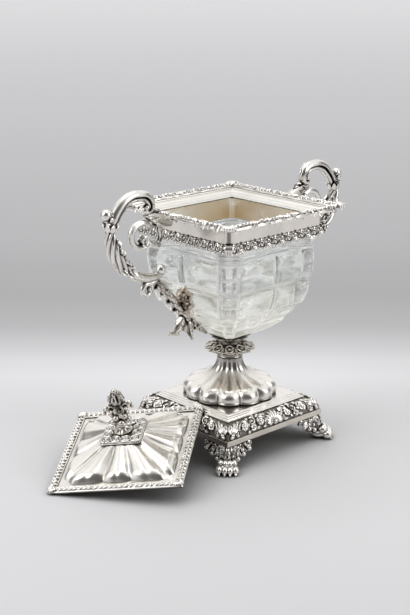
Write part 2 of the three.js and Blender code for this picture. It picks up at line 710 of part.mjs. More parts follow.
// Square with rounded lobes: the lid's panel from its square outer ends to its round crown
function lidLoop(share, z, relief) {
  const swells = [0, 1, 0.7, 1];
  const perLobe = swells.length;
  return Array.from({ length: lidLobes * perLobe }, (_, i) => {
    const angle = i * TAU / (lidLobes * perLobe) + Math.PI / 4;
    const square = lidPanelHalf / Math.max(Math.abs(Math.cos(angle)), Math.abs(Math.sin(angle)));
    const outer = Math.min(square, lidPanelHalf * 1.3);
    const r = THREE.MathUtils.lerp(outer, crownRadius, share);
    return new THREE.Vector3(r * Math.cos(angle), r * Math.sin(angle),
      z + relief * swells[i % perLobe]);
  });
}

// Points of a square loop spaced like lidLoop's
function lidSquare(half, z) {
  return lidLoop(0, z, 0).map((point) => {
    const scale = half / Math.max(Math.abs(point.x), Math.abs(point.y));
    return new THREE.Vector3(point.x * scale, point.y * scale, z);
  });
}

// Lid: a flat flange and lobes that rise from it to a crown with a hole for the finial's rod
function lidCover() {
  const hole = finialRodRadius + rodClearance;
  const dome = [[0, 0, 0], [0.03, 0.14, 0.5], [0.12, 0.24, 1], [0.4, 0.42, 1], [0.7, 0.7, 0.8],
    [0.9, 0.93, 0.4], [1, 1, 0]];
  const relief = 2.4;
  const rise = lidRise - lidSheet;
  const outside = dome.map(([share, up, swell]) =>
    lidLoop(share, lidSheet + up * rise, swell * relief));
  const inside = dome.filter((_, i) => i % 2 === 0).reverse()
    .map(([share, up]) => lidLoop(share, up * rise, 0));
  const holeLoop = (z) => lidLoop(1, z, 0).map((point) => point.clone().setZ(0)
    .multiplyScalar(hole / crownRadius).setZ(z));
  return skin([lidSquare(lidHalf, 0), lidSquare(lidHalf, lidSheet), ...outside,
    holeLoop(lidRise), holeLoop(rise), ...inside], true);
}

// Narrow leaf border lying on the flange
function lidBorder() {
  const bottom = lidSheet + gap;
  const inner = lidPanelHalf + lidBorderSetback;
  const profile = [[lidHalf, bottom], [lidHalf, bottom + 0.8], [lidHalf - 1.4, bottom + 1.5],
    [inner + 1.2, bottom + lidBorderThickness], [inner, bottom + 0.5], [inner, bottom]];
  return skin(profile.map(([half, z]) => squareLoop(half, z)), true);
}

// Bezel under the flange that drops into the mouth
function lidBezel() {
  const outer = mouthHalf - bezelClearance;
  const profile = [[outer, -gap], [outer, -bezelDepth], [outer - bezelWall, -bezelDepth],
    [outer - bezelWall, -gap]];
  return skin(profile.map(([half, z]) => squareLoop(half, z, outer * 0.08)), true);
}

// Square plate under the finial, its sides drawn in between rounded corners
function rosettePlate() {
  const bottom = lidRise + gap;
  const top = bottom + rosettePlateThickness;
  const hole = finialRodRadius + rodClearance;
  const plate = (half, z) => squareLoop(half, z, half * 0.16, 3).map((point, i) => {
    const inward = i % 4 === 1 || i % 4 === 2 ? 0.9 : 1;
    return point.setX(point.x * inward).setY(point.y * inward);
  });
  const start = plate(1, 0).map((point) => Math.atan2(point.y, point.x));
  const round = (z) => start.map((angle) => new THREE.Vector3(hole * Math.cos(angle),
    hole * Math.sin(angle), z));
  return skin([plate(rosettePlateHalf * 0.96, bottom), plate(rosettePlateHalf, bottom + 0.6),
    plate(rosettePlateHalf, top - 0.6), plate(rosettePlateHalf * 0.94, top), round(top),
    round(bottom)], true);
}

// Finial: a turned foot, a whorl of curled leaves and a bud, on one rod with its nut inside
function addFinial() {
  const base = lidRise + rosettePlateThickness + 2 * gap;
  const at = (share) => base + share * finialHeight;
  const hole = finialRodRadius + rodClearance;
  const crownUnder = lidRise - lidSheet - gap;
  const foot = [[hole, at(0)], [7.4, at(0)], [7.6, at(0.05)], [4.4, at(0.12)], [3.6, at(0.2)],
    [hole, at(0.2)], [hole, at(0)]];
  place(lid, 'finial_foot', turned(foot, 12), silver);
  const leaves = [[hole, at(0.2) + gap, 0], [4.6, at(0.2) + gap, 0], [8.2, at(0.3), 0.2],
    [8.8, at(0.4), 0.24], [6.4, at(0.48), 0.2], [9.6, at(0.6), 0.3], [11.2, at(0.68), 0.34],
    [9.8, at(0.73), 0.3], [5.2, at(0.74), 0.1], [hole, at(0.74), 0]];
  place(lid, 'finial_leaves',
    skin(leaves.map(([r, z, depth]) => lobedLoop(r, z, 6, depth, 4)), true), silver);
  const socket = at(0.74) + gap;
  const bud = [[hole, socket + 2, 0], [hole, socket, 0], [4.8, socket, 0.08], [6, at(0.82), 0.14],
    [5, at(0.91), 0.14], [2.4, at(0.98), 0.1], [0.9, at(1), 0]];
  place(lid, 'finial_bud', skin(bud.map(([r, z, depth]) => lobedLoop(r, z, 5, depth))), silver);
  const nutTop = crownUnder;
  const nutBottom = nutTop - nutHeight * 0.6;
  place(lid, 'finial_nut', ringOf(hole, nutRadius * 0.8, nutBottom, nutHeight * 0.6, 6), steel);
  const rodBottom = nutBottom - rodTail * 0.5;
  const rodTop = socket + 2 - gap;
  place(lid, 'finial_rod', turned([[0, rodBottom], [finialRodRadius, rodBottom],
    [finialRodRadius, rodTop], [0, rodTop]], 10), steel);
}

// Lay the lid down: one corner on the floor, the opposite one on the plinth's top moulding
function leanLid() {
  const diagonal = lidHalf * 2 * Math.SQRT2;
  const [restHalf, stepHeight] = plinthStep(2.4);
  const restHeight = stepHeight + gap;
  const tilt = Math.asin(restHeight / diagonal);
  const lean = new THREE.Matrix4().makeRotationZ(radians(lidHeading))
    .multiply(new THREE.Matrix4().makeRotationY(-tilt))
    .multiply(new THREE.Matrix4().makeRotationX(radians(lidRoll)))
    .multiply(new THREE.Matrix4().makeRotationZ(-Math.PI / 4));
  const raised = new THREE.Vector3(lidHalf, lidHalf, 0).applyMatrix4(lean);
  const rest = new THREE.Vector3(-restHalf, lidRestAlong, restHeight);
  lid.quaternion.setFromRotationMatrix(lean);
  lid.position.copy(rest.sub(raised));
}

place(stand, 'base_frame_moulding', plinthFrame(), silver);
for (let i = 0; i < 4; i++) {
  const strip = place(stand, `base_frieze_strip_${i + 1}`, friezeStrip(), silver);
  strip.rotation.z = i * Math.PI / 2;
}
place(stand, 'base_top_plate', plinthTop(), silver);
const paw = pawFoot();
const foliage = footFoliage();
for (let i = 0; i < 4; i++) {
  place(stand, `paw_foot_${i + 1}`, paw.clone(), silver).rotation.z = i * Math.PI / 2;
  place(stand, `foot_foliage_${i + 1}`, foliage.clone(), silver).rotation.z = i * Math.PI / 2;
}
place(stand, 'pedestal_dome', pedestalDome(), silver);
place(stand, 'leaf_collar', leafCollar(), silver);
place(stand, 'calyx_cup', calyxCup(), silver);
place(stand, 'tie_rod', pedestalRod(), steel);
const washerBottom = platformTop - platformThickness - gap - washerThickness;
const rodHole = rodRadius + rodClearance;
place(stand, 'tie_rod_washer',
  ringOf(rodHole, washerRadius, washerBottom, washerThickness, 16), steel);
place(stand, 'tie_rod_nut',
  ringOf(rodHole, nutRadius, washerBottom - gap - nutHeight, nutHeight, 6), steel);
place(stand, 'crystal_bowl', glassBowl(), glass);
place(stand, 'collar_band', collarBand(), silver);
place(stand, 'collar_leaf_border', leafBand(), silver);
place(stand, 'mouth_liner', mouthLiner(), gilt);
place(stand, 'rim_flare', rimFlare(), silver);
place(stand, 'rim_border', rimBorder(), silver);
addHandles();
place(lid, 'lid_cover', lidCover(), silver);
place(lid, 'lid_border', lidBorder(), silver);
place(lid, 'lid_bezel', lidBezel(), silver);
place(lid, 'lid_rosette_plate', rosettePlate(), silver);
addFinial();
leanLid();

// Stand the set on the floor with the origin under its middle
set.updateMatrixWorld(true);
const box = new THREE.Box3().setFromObject(set, true);
const middle = box.getCenter(new THREE.Vector3());
set.position.set(-middle.x, -middle.y, -box.min.z);
set.updateMatrixWorld(true);

export default set;
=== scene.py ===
import math
import random

import bmesh
import bpy
from mathutils import Matrix, Vector


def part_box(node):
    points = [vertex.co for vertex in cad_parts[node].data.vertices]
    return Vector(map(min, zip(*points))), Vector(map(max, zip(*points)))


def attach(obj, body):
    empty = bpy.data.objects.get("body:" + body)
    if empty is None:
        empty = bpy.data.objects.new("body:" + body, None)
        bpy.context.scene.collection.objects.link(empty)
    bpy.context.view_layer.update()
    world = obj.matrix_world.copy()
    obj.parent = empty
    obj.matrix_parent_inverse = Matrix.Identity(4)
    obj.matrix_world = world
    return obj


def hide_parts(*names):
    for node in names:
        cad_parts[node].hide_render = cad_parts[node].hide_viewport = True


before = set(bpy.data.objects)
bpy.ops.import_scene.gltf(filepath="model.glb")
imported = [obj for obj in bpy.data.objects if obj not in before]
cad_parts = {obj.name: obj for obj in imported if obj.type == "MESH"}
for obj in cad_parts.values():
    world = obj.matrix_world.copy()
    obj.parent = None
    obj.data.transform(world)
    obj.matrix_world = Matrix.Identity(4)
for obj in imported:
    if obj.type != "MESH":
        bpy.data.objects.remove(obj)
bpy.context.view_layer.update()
mm = 0.001

# ---------------------------------------------------------------- camera and studio
# The camera stands a little above the rim and looks down on one corner of the stand.
# Everything is placed from the stand's own upright axis, which the glass bowl gives.
glass_low, glass_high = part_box("crystal_bowl")
axis = Vector(((glass_low.x + glass_high.x) / 2, (glass_low.y + glass_high.y) / 2, 0))
looking = Vector((0.65201, 0.70262, -0.28496))
eye = bpy.data.cameras.new("eye")
eye.lens = 72.7
eye.sensor_width = 36
eye.clip_start, eye.clip_end = 0.05, 60
camera = bpy.data.objects.new("eye", eye)
camera.location = axis + Vector((-0.7192, -0.7430, 0.4263))
camera.rotation_mode = "QUATERNION"
camera.rotation_quaternion = looking.to_track_quat("-Z", "Y")
bpy.context.scene.collection.objects.link(camera)
bpy.context.scene.camera = camera
bpy.context.scene.view_settings.view_transform = "Standard"


class Signal:
    """One output of a shader node, which can be added, multiplied and fed on."""

    def __init__(self, tree, socket=None):
        self.tree = tree
        self.socket = socket

    def node(self, kind, settings, inputs, output=0):
        """A new node with its settings and inputs. The output asked for comes back."""
        made = self.tree.nodes.new("ShaderNode" + kind)
        for name, value in settings.items():
            if name == "stops":
                ramp = made.color_ramp
                while len(ramp.elements) < len(value):
                    ramp.elements.new(0.5)
                for element, (place, colour) in zip(ramp.elements, value):
                    element.position = place
                    element.color = colour
            else:
                setattr(made, name, value)
        for name, value in inputs.items():
            if isinstance(value, Signal):
                self.tree.links.new(value.socket, made.inputs[name])
            else:
                made.inputs[name].default_value = value
        return Signal(self.tree, made.outputs[output]) if made.outputs else None

    def maths(self, operation, first, second):
        return self.node("Math", {"operation": operation}, {0: first, 1: second})

    def place(self):
        """Where a point lies, in metres from the frame's origin."""
        return self.node("TexCoord", {}, {}, "Object")

    def noise(self, place, scale, detail, distortion=0.0):
        return self.node("TexNoise", {}, {"Vector": place, "Scale": scale, "Detail": detail,
                                          "Distortion": distortion})

    def open_sky(self, reach, samples):
        """1 in the open and 0 in a hollow narrower than the reach, in metres."""
        return self.node("AmbientOcclusion", {"samples": samples}, {"Distance": reach}, "AO")

    def part(self, which):
        """The X, Y or Z of this vector."""
        return self.node("SeparateXYZ", {}, {"Vector": self}, which)

    def along(self, way):
        """How far this vector reaches one way."""
        return self.node("VectorMath", {"operation": "DOT_PRODUCT"},
                         {0: self, 1: Vector(way).normalized()}, "Value")

    def from_axis(self):
        """This place measured from the stand's upright axis."""
        return self.node("VectorMath", {"operation": "SUBTRACT"}, {0: self, 1: axis})

    def unsigned(self):
        """This vector without its signs."""
        return self.node("VectorMath", {"operation": "ABSOLUTE"}, {0: self})

    def coat(self, inputs):
        """Gives the material a surface with these inputs."""
        skin = self.node("BsdfPrincipled", {}, inputs)
        self.node("OutputMaterial", {}, {"Surface": skin})

    def __add__(self, other):
        return self.maths("ADD", self, other)

    __radd__ = __add__

    def __mul__(self, other):
        return self.maths("MULTIPLY", self, other)

    __rmul__ = __mul__

    def __sub__(self, other):
        return self.maths("SUBTRACT", self, other)

    def __rsub__(self, other):
        return self.maths("SUBTRACT", other, self)

    def __truediv__(self, other):
        return self.maths("DIVIDE", self, other)

    def ease(self, low, high, from_value=0.0, to_value=1.0):
        """This value taken smoothly from one range to another."""
        return self.node("MapRange", {"interpolation_type": "SMOOTHSTEP"},
                         {"Value": self, "From Min": low, "From Max": high,
                          "To Min": from_value, "To Max": to_value})

    def blend(self, dark, light):
        """Two colours mixed by this value."""
        return self.node("Mix", {"data_type": "RGBA"}, {0: self, 6: dark, 7: light}, 2)


def start_material(name):
    """An empty material, and the pen that draws its nodes."""
    material = bpy.data.materials.new(name)
    material.use_nodes = True
    material.node_tree.nodes.clear()
    return material, Signal(material.node_tree)


def grey(value, blue=0.0):
    """A grey, a little cooler by the share given as blue."""
    return (value * (1 - blue), value * (1 - blue), value * (1 + blue), 1)


# The table is pale paper, with painted shade some way behind the stand, and pale again far off.
# Each stop is a distance in metres beyond the stand's axis along the view, and a brightness.
# Far off it glows a little, as a lit backdrop does.
paper_reach = 30
paper_and_painted_shade_stops = [(-0.34, 0.715), (-0.16, 0.775), (0.06, 0.780), (0.175, 0.850), (0.225, 0.785),
               (0.272, 0.665), (0.347, 0.525), (0.476, 0.470), (0.748, 0.540), (1.22, 0.590),
               (2.0, 0.680), (3.566, 0.765), (7.466, 0.835)]
glow_stops = [(0.60, 0.0), (1.22, 0.07), (2.0, 0.10), (3.566, 0.125), (7.466, 0.175)]
bed = bmesh.new()
bmesh.ops.create_grid(bed, x_segments=1, y_segments=1, size=paper_reach)
paper_mesh = bpy.data.meshes.new("paper")
bed.to_mesh(paper_mesh)
bed.free()
paper = bpy.data.objects.new("paper", paper_mesh)
bpy.context.scene.collection.objects.link(paper)
material, draw = start_material("paper")


def squeeze(distance, near_edge=0.5, eye_distance=1.1):
    """A number or a Signal, squeezed as a picture squeezes distance, so that stops lie evenly."""
    return (distance + near_edge) / (distance + eye_distance)


squeezed = squeeze(draw.place().along((looking.x, looking.y, 0)))
stops, glows = ([(squeeze(distance), grey(value, 0.006)) for distance, value in pairs]
                for pairs in (paper_and_painted_shade_stops, glow_stops))
tone = draw.node("ValToRGB", {"stops": stops}, {"Fac": squeezed})
# the glass shows it paler, as real crystal gathers the light of the whole table
through_glass = draw.node("LightPath", {}, {}, "Is Transmission Ray")
# under the plinth and the lid the paper lies in deep shade
shaded = draw.open_sky(70 * mm, 8).ease(0.15, 0.95).blend(grey(0.22), tone)
draw.coat({"Base Color": through_glass.blend(shaded, grey(0.9)), "Emission Strength": 1.0,
           "Emission Color": draw.node("ValToRGB", {"stops": glows}, {"Fac": squeezed}),
           "Roughness": 0.75, "Specular IOR Level": 0.25})
paper_mesh.materials.append(material)

# The room is pale all round but for the shade behind the camera and a dark strip each side.
world = bpy.data.worlds.new("room")
bpy.context.scene.world = world
world.use_nodes = True
world.node_tree.nodes.clear()
room = Signal(world.node_tree)
direction = room.node("TexCoord", {}, {}, "Generated")
shade = direction.along((-0.66, -0.70, 0.28)).ease(0.50, 0.86)
for strip_way in ((0.95, -0.35, 0.12), (-0.35, 0.95, 0.12)):
    shade = shade + direction.along(strip_way).ease(0.87, 0.95) * 0.8
# Glass shows the pale backdrop only, as it stands well forward of the shade.
through_glass = room.node("LightPath", {}, {}, "Is Transmission Ray")
# Polished metal shows it as bright as white paper, so that the silver reads as silver.
mirrored = room.node("LightPath", {}, {}, "Is Glossy Ray")
seen = shade.blend(mirrored.blend(grey(0.84, 0.005), grey(1.0)), grey(0.12))
room_light = room.node("Background", {}, {"Color": through_glass.blend(seen, grey(1.0)),
                                          "Strength": 0.95})
room.node("OutputWorld", {}, {"Surface": room_light})


def softbox(name, place_at, size, power):
    """A lamp near the stand that faces its middle: place and size in metres, power in watts."""
    lamp = bpy.data.lights.new(name, "AREA")
    lamp.shape = "RECTANGLE"
    lamp.size, lamp.size_y = size
    lamp.energy = power
    holder = bpy.data.objects.new(name, lamp)
    holder.location = axis + Vector(place_at)
    holder.rotation_mode = "QUATERNION"
    aim = Vector((axis.x, axis.y, 0.1)) - holder.location
    holder.rotation_quaternion = aim.to_track_quat("-Z", "Y")
    bpy.context.scene.collection.objects.link(holder)


softbox("light_left", (-1.1, 0.25, 0.9), (0.7, 0.7), 3.6)
softbox("light_right", (0.55, -1.1, 0.8), (0.6, 0.7), 2.8)
softbox("light_top", (0.1, 0.2, 1.3), (0.9, 0.9), 3.4)

# ---------------------------------------------------------------- plinth
# The square plinth is raised in rolled silver: a plain fillet, a sloping wall for the
# ornament and a stepped top. Its edges are softly burnished, so each gets a small bevel.
seats = {"stand": Matrix.Translation(axis)}


def turns(count, start=0.0):
    """Even turns about the upright axis."""
    return [Matrix.Rotation(start + 2 * math.pi * k / count, 4, "Z") for k in range(count)]


up = Vector((0, 0, 1))


def toward(angle):
    """The level direction at an angle round the upright axis."""
    return Vector((math.cos(angle), math.sin(angle), 0))


def circle(count, step=None):
    """Cosine and sine at even steps round a circle, closed if no step is given."""
    step = step or 2 * math.pi / (count - 1)
    return [(math.cos(i * step), math.sin(i * step)) for i in range(count)]


quarter_turns = turns(4)


def silver(name, polish, recess, patina_and_shade, tint=(0.93, 0.895, 0.845, 1), sulphide_and_shade=(0.022, 0.019, 0.016, 1),
           painted_reflection=None):
    """Silver dark in its recesses with sulphide and painted shade, fine scratches and faint
    clouding. polish is its roughness, recess the reach in millimetres that makes a hollow, and
    the number after it how dark the hollows are. A function given last paints a dark
    reflection, worked out from where a point lies on the stand."""
    material, draw = start_material(name)
    place = draw.place()
    cloud = draw.noise(place, 46.0, 3.0)
    scratch = draw.noise(place, 1400.0, 2.0)
    # the hollows are darkened with real sulphide and painted shade together
    hollow = (1 - draw.open_sky(recess * mm, 6) + cloud * 0.2).ease(0.24, 0.66)
    clean = cloud.ease(0.35, 0.7).blend(tint, [c * 0.88 for c in tint[:3]] + [1])
    # a painted dark reflection, where the stand would show the dark side of the room
    if painted_reflection:
        clean = painted_reflection(place.from_axis(), cloud).blend(clean, (0.17, 0.155, 0.14, 1))
    bumps = draw.node("Bump", {}, {"Strength": 0.05, "Distance": 0.2 * mm, "Height": scratch})
    draw.coat({"Base Color": (hollow * patina_and_shade).blend(clean, sulphide_and_shade), "Metallic": 1.0,
               "Roughness": polish + hollow * 0.25 + cloud * 0.10, "Normal": bumps})
    return material


rolled_silver = silver("rolled_silver", 0.12, 1.2, 0.75)
cast_silver = silver("cast_silver", 0.16, 2.2, 1.0)
# a near-black silver for the ground behind ornament: painted shade
dark_ground_painted_shade = silver("dark_ground_painted_shade", 0.30, 1.6, 1.0, tint=(0.22, 0.205, 0.185, 1))


def dress(node_name, finish, edge):
    """Keeps a CAD solid, with its edges burnished to a radius."""
    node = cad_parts[node_name]
    node.data.materials.clear()
    node.data.materials.append(finish)
    weld = node.modifiers.new("weld", "WELD")
    weld.merge_threshold = 0.01 * mm
    if edge:
        round_off = node.modifiers.new("edges", "BEVEL")
        round_off.width = edge * mm
        round_off.segments = 2
        round_off.limit_method = "ANGLE"
        round_off.angle_limit = math.radians(25)


def deliver(bed, name, finishes, stands_for, body="stand", crease=42):
    """Turns a finished bmesh, drawn in millimetres, into a piece that rides on its body."""
    bmesh.ops.remove_doubles(bed, verts=bed.verts, dist=0.002)
    bmesh.ops.recalc_face_normals(bed, faces=bed.faces)
    for edge in bed.edges:
        edge.smooth = len(edge.link_faces) == 2 and edge.calc_face_angle(0) < math.radians(crease)
    for face in bed.faces:
        face.smooth = True
    bmesh.ops.scale(bed, vec=(mm, mm, mm), verts=bed.verts)
    bmesh.ops.transform(bed, matrix=seats[body], verts=bed.verts)
    mesh = bpy.data.meshes.new(name)
    bed.to_mesh(mesh)
    bed.free()
    for finish in finishes:
        mesh.materials.append(finish)
    piece = bpy.data.objects.new(name, mesh)
    bpy.context.scene.collection.objects.link(piece)
    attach(piece, body)
    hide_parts(*stands_for)


def repeat(unit, places, onto=None):
    """Copies of one ornament, each at its own place, in a new bmesh or added to another."""
    mesh = bpy.data.meshes.new("unit")
    unit.to_mesh(mesh)
    unit.free()
    bed = onto or bmesh.new()
    for place in places:
        mesh.transform(place)
        bed.from_mesh(mesh)
        mesh.transform(place.inverted())
    bpy.data.meshes.remove(mesh)
    return bed


fillet_silver = silver("fillet_silver", 0.20, 1.2, 0.8, tint=(0.76, 0.71, 0.63, 1))
dress("base_frame_moulding", fillet_silver, 0.5)
dress("base_top_plate", rolled_silver, 0.3)

# ---------------------------------------------------------------- ornamented plinth band
# Die-struck strips, mitred at the corners: a fan of leaves in the middle of each side,
# with rosettes and curled tendrils between it and the corners. Dark polish residue and painted
# shade fill them.
plinth_half, frieze_foot, frieze_top = 57.6, 26.9, 37.5
frieze_draw_in, frieze_width, frieze_middle = 10.2, 15.3, 51.6


def mould(bed, surface, around, along):
    """A closed skin drawn out of a ball: surface takes 0..1 from pole to pole and a turn."""
    made = bmesh.ops.create_uvsphere(bed, u_segments=around, v_segments=along, radius=1)["verts"]
    for point in made:
        down = math.acos(max(-1, min(1, point.co.z))) / math.pi
        point.co = surface(down, math.atan2(point.co.y, point.co.x))


def bead(bed, centre, size, around=8, along=6):
    """A drop or ball with its own radius along each axis."""
    made = bmesh.ops.create_uvsphere(bed, u_segments=around, v_segments=along, radius=1)["verts"]
    bmesh.ops.scale(bed, vec=size if hasattr(size, "__len__") else (size,) * 3, verts=made)
    bmesh.ops.translate(bed, vec=centre, verts=made)
    return made


def sides_at(points, share, face):
    """Place on a curve with the directions to its side and up from it."""
    here, going = along_curve(points, share)
    side = going.cross(face)
    side = side.normalized() if side.length > 1e-6 else Vector((1, 0, 0))
    return here, side, side.cross(going)


def along_curve(points, share):
    """Place and direction on a smooth curve through points."""
    place = max(0.0, min(1.0, share)) * (len(points) - 1)
    i = min(int(place), len(points) - 2)
    f = place - i
    a, b = Vector(points[i]), Vector(points[i + 1])
    before = Vector(points[i - 1]) if i else a * 2 - b
    after = Vector(points[i + 2]) if i + 2 < len(points) else b * 2 - a
    here = 0.5 * ((2 * a) + (b - before) * f + (2 * before - 5 * a + 4 * b - after) * f * f
                  + (3 * a - before - 3 * b + after) * f ** 3)
    going = 0.5 * ((b - before) + 2 * (2 * before - 5 * a + 4 * b - after) * f
                   + 3 * (3 * a - before - 3 * b + after) * f * f)
    return here, going.normalized()


# where a groove runs on a rod and how wide it is, as shares of the rod's radius
groove_place, groove_width = 0.3, 0.17


def tendril(bed, points, thick, taper=0.5, face=(0, 0, 1), around=6, along=14, flat=1.0,
            ridges=0, twist=0.0, swell=None, groove=0.0, depth=0.26):
    """A rod drawn along a curve, thinner towards its end, reeded or grooved along its face."""
    face = Vector(face)
    stops = {}

    def surface(down, turn):
        share = max(0.0, min(1.0, (down - 0.5 / along) / (1 - 1.0 / along)))
        if share not in stops:
            stops[share] = sides_at(points, share, face)
        here, side, up = stops[share]
        end = min(1.0, 2.2 * math.sqrt(max(0.0, min(down, 1 - down) * 2)))
        radius = (swell(share) if swell else thick * (1 - (1 - taper) * share)) * end
        if ridges:
            radius *= 1.1 - depth * (1 - abs(math.cos(ridges * (turn + twist * share) / 2)))
        if groove:
            in_groove = math.exp(-((math.cos(turn) - groove_place) / groove_width) ** 2)
            radius *= 1 - groove * in_groove * abs(math.sin(turn))
        return here + side * (radius * math.cos(turn)) + up * (radius * flat * math.sin(turn))

    mould(bed, surface, around, along)


def leaf(bed, points, width, face, thick=0.7, cup=0.25, notches=0, rib=0.5, around=10, along=10,
         tip=0.55, ruffle=0.0):
    """A leaf laid along a curve: notched edges, a sunk middle line and cupped sides."""
    face = Vector(face)
    stops = {}

    def surface(down, turn):
        if down not in stops:
            stops[down] = sides_at(points, down, face)
        here, side, up = stops[down]
        across, over = math.cos(turn), math.sin(turn)
        broad = width * math.sin(math.pi * down ** tip) ** 0.8
        if notches:
            broad *= 1 - 0.30 * abs(math.sin(math.pi * notches * down)) * abs(across) ** 0.5
        lift = thick * over * math.sin(math.pi * min(1, down * 1.02 + 0.02)) ** 0.4
        lift += cup * broad * across * across
        if over > 0:
            lift -= rib * thick * math.exp(-(across / 0.28) ** 2) * math.sin(math.pi * down)
        lift += ruffle * math.sin(2 * math.pi * notches * down) * abs(across) ** 2
        return here + side * (broad * across) + up * lift

    mould(bed, surface, around, along)


def rosette(bed, u, w, size, petals=6):
    """A small open flower seen from the front, in flat strip coordinates."""
    for k in range(petals):
        out = toward(2 * math.pi * (k + 0.5) / petals)
        start = Vector((u, w, 0.1))
        middle = start + out * size * 0.62 + up * (size * 0.20)
        leaf(bed, [start + out * size * 0.2, middle, start + out * size], size * 0.36, up,
             thick=size * 0.14, cup=0.5, around=8, along=5, tip=0.8)
    bead(bed, (u, w, size * 0.1), (size * 0.27, size * 0.27, size * 0.34), 8, 5)


def curl(bed, u, w, size, way, thick, winds=1.35, start=0.0):
    """A tendril wound into a coil that ends in a bead. way is 1 or -1, the sense of winding."""
    path = []
    for k in range(14):
        left = 1 - k / 13
        coil_at = toward(start + way * winds * 2 * math.pi * left) * (size * (0.18 + 0.82 * left))
        path.append(coil_at + Vector((u, w, 0.2)))
    tendril(bed, path, thick, taper=0.55, along=22)
    bead(bed, (u, w, 0.3), (size * 0.30, size * 0.30, size * 0.28), 8, 5)


def fan(bed, u, w, size, leaves, spread, tilt=math.pi / 2, plump=0.115):
    """A palmette: leaves that spread from one point."""
    for k in range(leaves):
        out = toward(tilt + spread * (k / (leaves - 1) - 0.5))
        reach = size * (1 - 0.18 * abs(2 * k / (leaves - 1) - 1))
        start = Vector((u, w, 0.2))
        leaf(bed, [start + out * reach * 0.15, start + out * reach * 0.6 + up * 0.9,
                   start + out * reach + up * 0.1], size * plump, up,
             thick=size * 0.075, cup=-0.25, rib=0.3, around=8, along=6, tip=0.85)
    bead(bed, (u, w + 0.3, 0.6), size * 0.16, 8, 5)


def small_leaf(bed, u, w, lean, length, width=1.25):
    """A plain leaf lying on the strip: it starts at a place and leans to one angle."""
    out = toward(lean)
    start = Vector((u, w, 0.1))
    leaf(bed, [start, start + out * length * 0.55 + up * 0.9, start + out * length],
         width, up, thick=0.6, cup=-0.2, around=8, along=6, tip=0.7)


def ground(cells, half_length, half_width, middle, down, thickness):
    """The dark sheet behind flat ornament, its darkness painted shade; down is how far it lies
    below it.
    """
    bed = bmesh.new()
    slab = bmesh.ops.create_grid(bed, x_segments=cells[0], y_segments=cells[1], size=1)["verts"]
    bmesh.ops.scale(bed, vec=(half_length, half_width, 1), verts=slab)
    bmesh.ops.translate(bed, vec=(0, middle, -down), verts=slab)
    bmesh.ops.solidify(bed, geom=bed.faces[:], thickness=thickness)
    for face in bed.faces:
        face.material_index = 1
    return bed


# plain leaves of half a side: place along it and up it, lean and length
frieze_leaves = [(9.0, 10.4, 1.2, 4.4), (10.0, 12.6, 0.1, 5.0), (9.6, 1.6, 0.2, 5.2),
                 (20.4, 2.0, 2.6, 4.4), (20.6, 13.0, 0.5, 4.6), (19.4, 12.6, 2.7, 5.4),
                 (26.8, 1.8, 0.1, 4.6), (27.4, 6.6, 0.7, 3.6), (27.8, 13.4, -0.1, 4.4),
                 (38.8, 1.4, 0.2, 4.6), (39.0, 13.6, -0.5, 4.2), (40.4, 9.0, 1.1, 4.4),
                 (43.6, 13.4, -1.2, 3.6), (49.8, 9.8, 1.3, 3.4), (30.4, 1.3, 3.0, 3.2),
                 (3.6, 1.6, 0.3, 4.4), (22.6, 7.0, 0.2, 2.6), (43.4, 8.6, 2.2, 3.2)]


def frieze_side():
    """Ornament of one side in flat coordinates: along the side, up the slope, out of it."""
    bed = ground((36, 8), frieze_middle, frieze_width / 2, frieze_width / 2, 0.7, 1.1)
    half = bmesh.new()
    curl(half, 6.8, 4.9, 4.5, -1, 1.05, start=math.pi / 2)
    curl(half, 15.2, 7.4, 5.9, 1, 1.15, winds=1.1, start=math.pi)
    rosette(half, 15.2, 7.4, 3.6)
    curl(half, 24.6, 10.2, 4.0, -1, 0.95, start=math.pi)
    rosette(half, 24.0, 4.2, 3.3, petals=5)
    curl(half, 33.4, 7.6, 6.3, -1, 1.2, winds=1.1, start=0)
    rosette(half, 33.4, 7.6, 4.0)
    curl(half, 41.4, 4.4, 3.2, 1, 0.9, start=math.pi / 2)
    fan(half, 46.8, 3.4, 10.6, 5, 1.5, tilt=math.pi / 2 + 0.15, plump=0.14)
    bead(half, (47.4, 2.0, 0.5), (2.2, 1.5, 1.3), 8, 5)
    for u, w, lean, length in frieze_leaves:
        small_leaf(half, u, w, lean, length)
    repeat(half, [Matrix(), Matrix.Scale(-1, 4, (1, 0, 0))], bed)
    fan(bed, 0, 2.6, 12.6, 9, 2.9, plump=0.12)
    bead(bed, (0, 2.0, 0.4), (2.4, 1.5, 1.3), 8, 5)
    return bed


def onto_slope(point):
    """Flat strip coordinates to the sloping wall of the plinth's front side."""
    share = max(0.0, min(1.0, point.y / frieze_width))
    foot = plinth_half - 0.7
    # the wall's outline as half side and height: its foot, the pull of its curve and its top
    low, pull, high = (Vector(p) for p in ((foot, frieze_foot), (foot - 0.5, frieze_foot + 7.42),
                                           (plinth_half - frieze_draw_in, frieze_top)))
    half, height = low * (1 - share) ** 2 + pull * 2 * share * (1 - share) + high * share ** 2
    slope = ((pull - low) * 2 * (1 - share) + (high - pull) * 2 * share).normalized()
    reach = half + slope.y * point.z
    return Vector((point.x * (half - 0.3) / frieze_middle, -reach, height - slope.x * point.z))


def deliver_four(unit, name, finishes, stands_for, first=0.0):
    """One numbered copy of a piece on each side or corner of the plinth."""
    for k, turn in enumerate(turns(4, first)):
        deliver(repeat(unit.copy(), [turn]), f"{name}_{k + 1}", finishes, [f"{stands_for}_{k + 1}"])
    unit.free()


strip = frieze_side()
for point in strip.verts:
    point.co = onto_slope(point.co)
deliver_four(strip, "frieze_ornament", [cast_silver, dark_ground_painted_shade], "base_frieze_strip")

# ---------------------------------------------------------------- lion's-paw feet
# Each foot is one casting: four toes in two rows of knuckles, claws, and a hairy shank with a
# leaf down its front. It is screwed up under a corner, foliage running along both sides of it.
heel_out, foot_height = 79.2, 21.6
paw = bmesh.new()
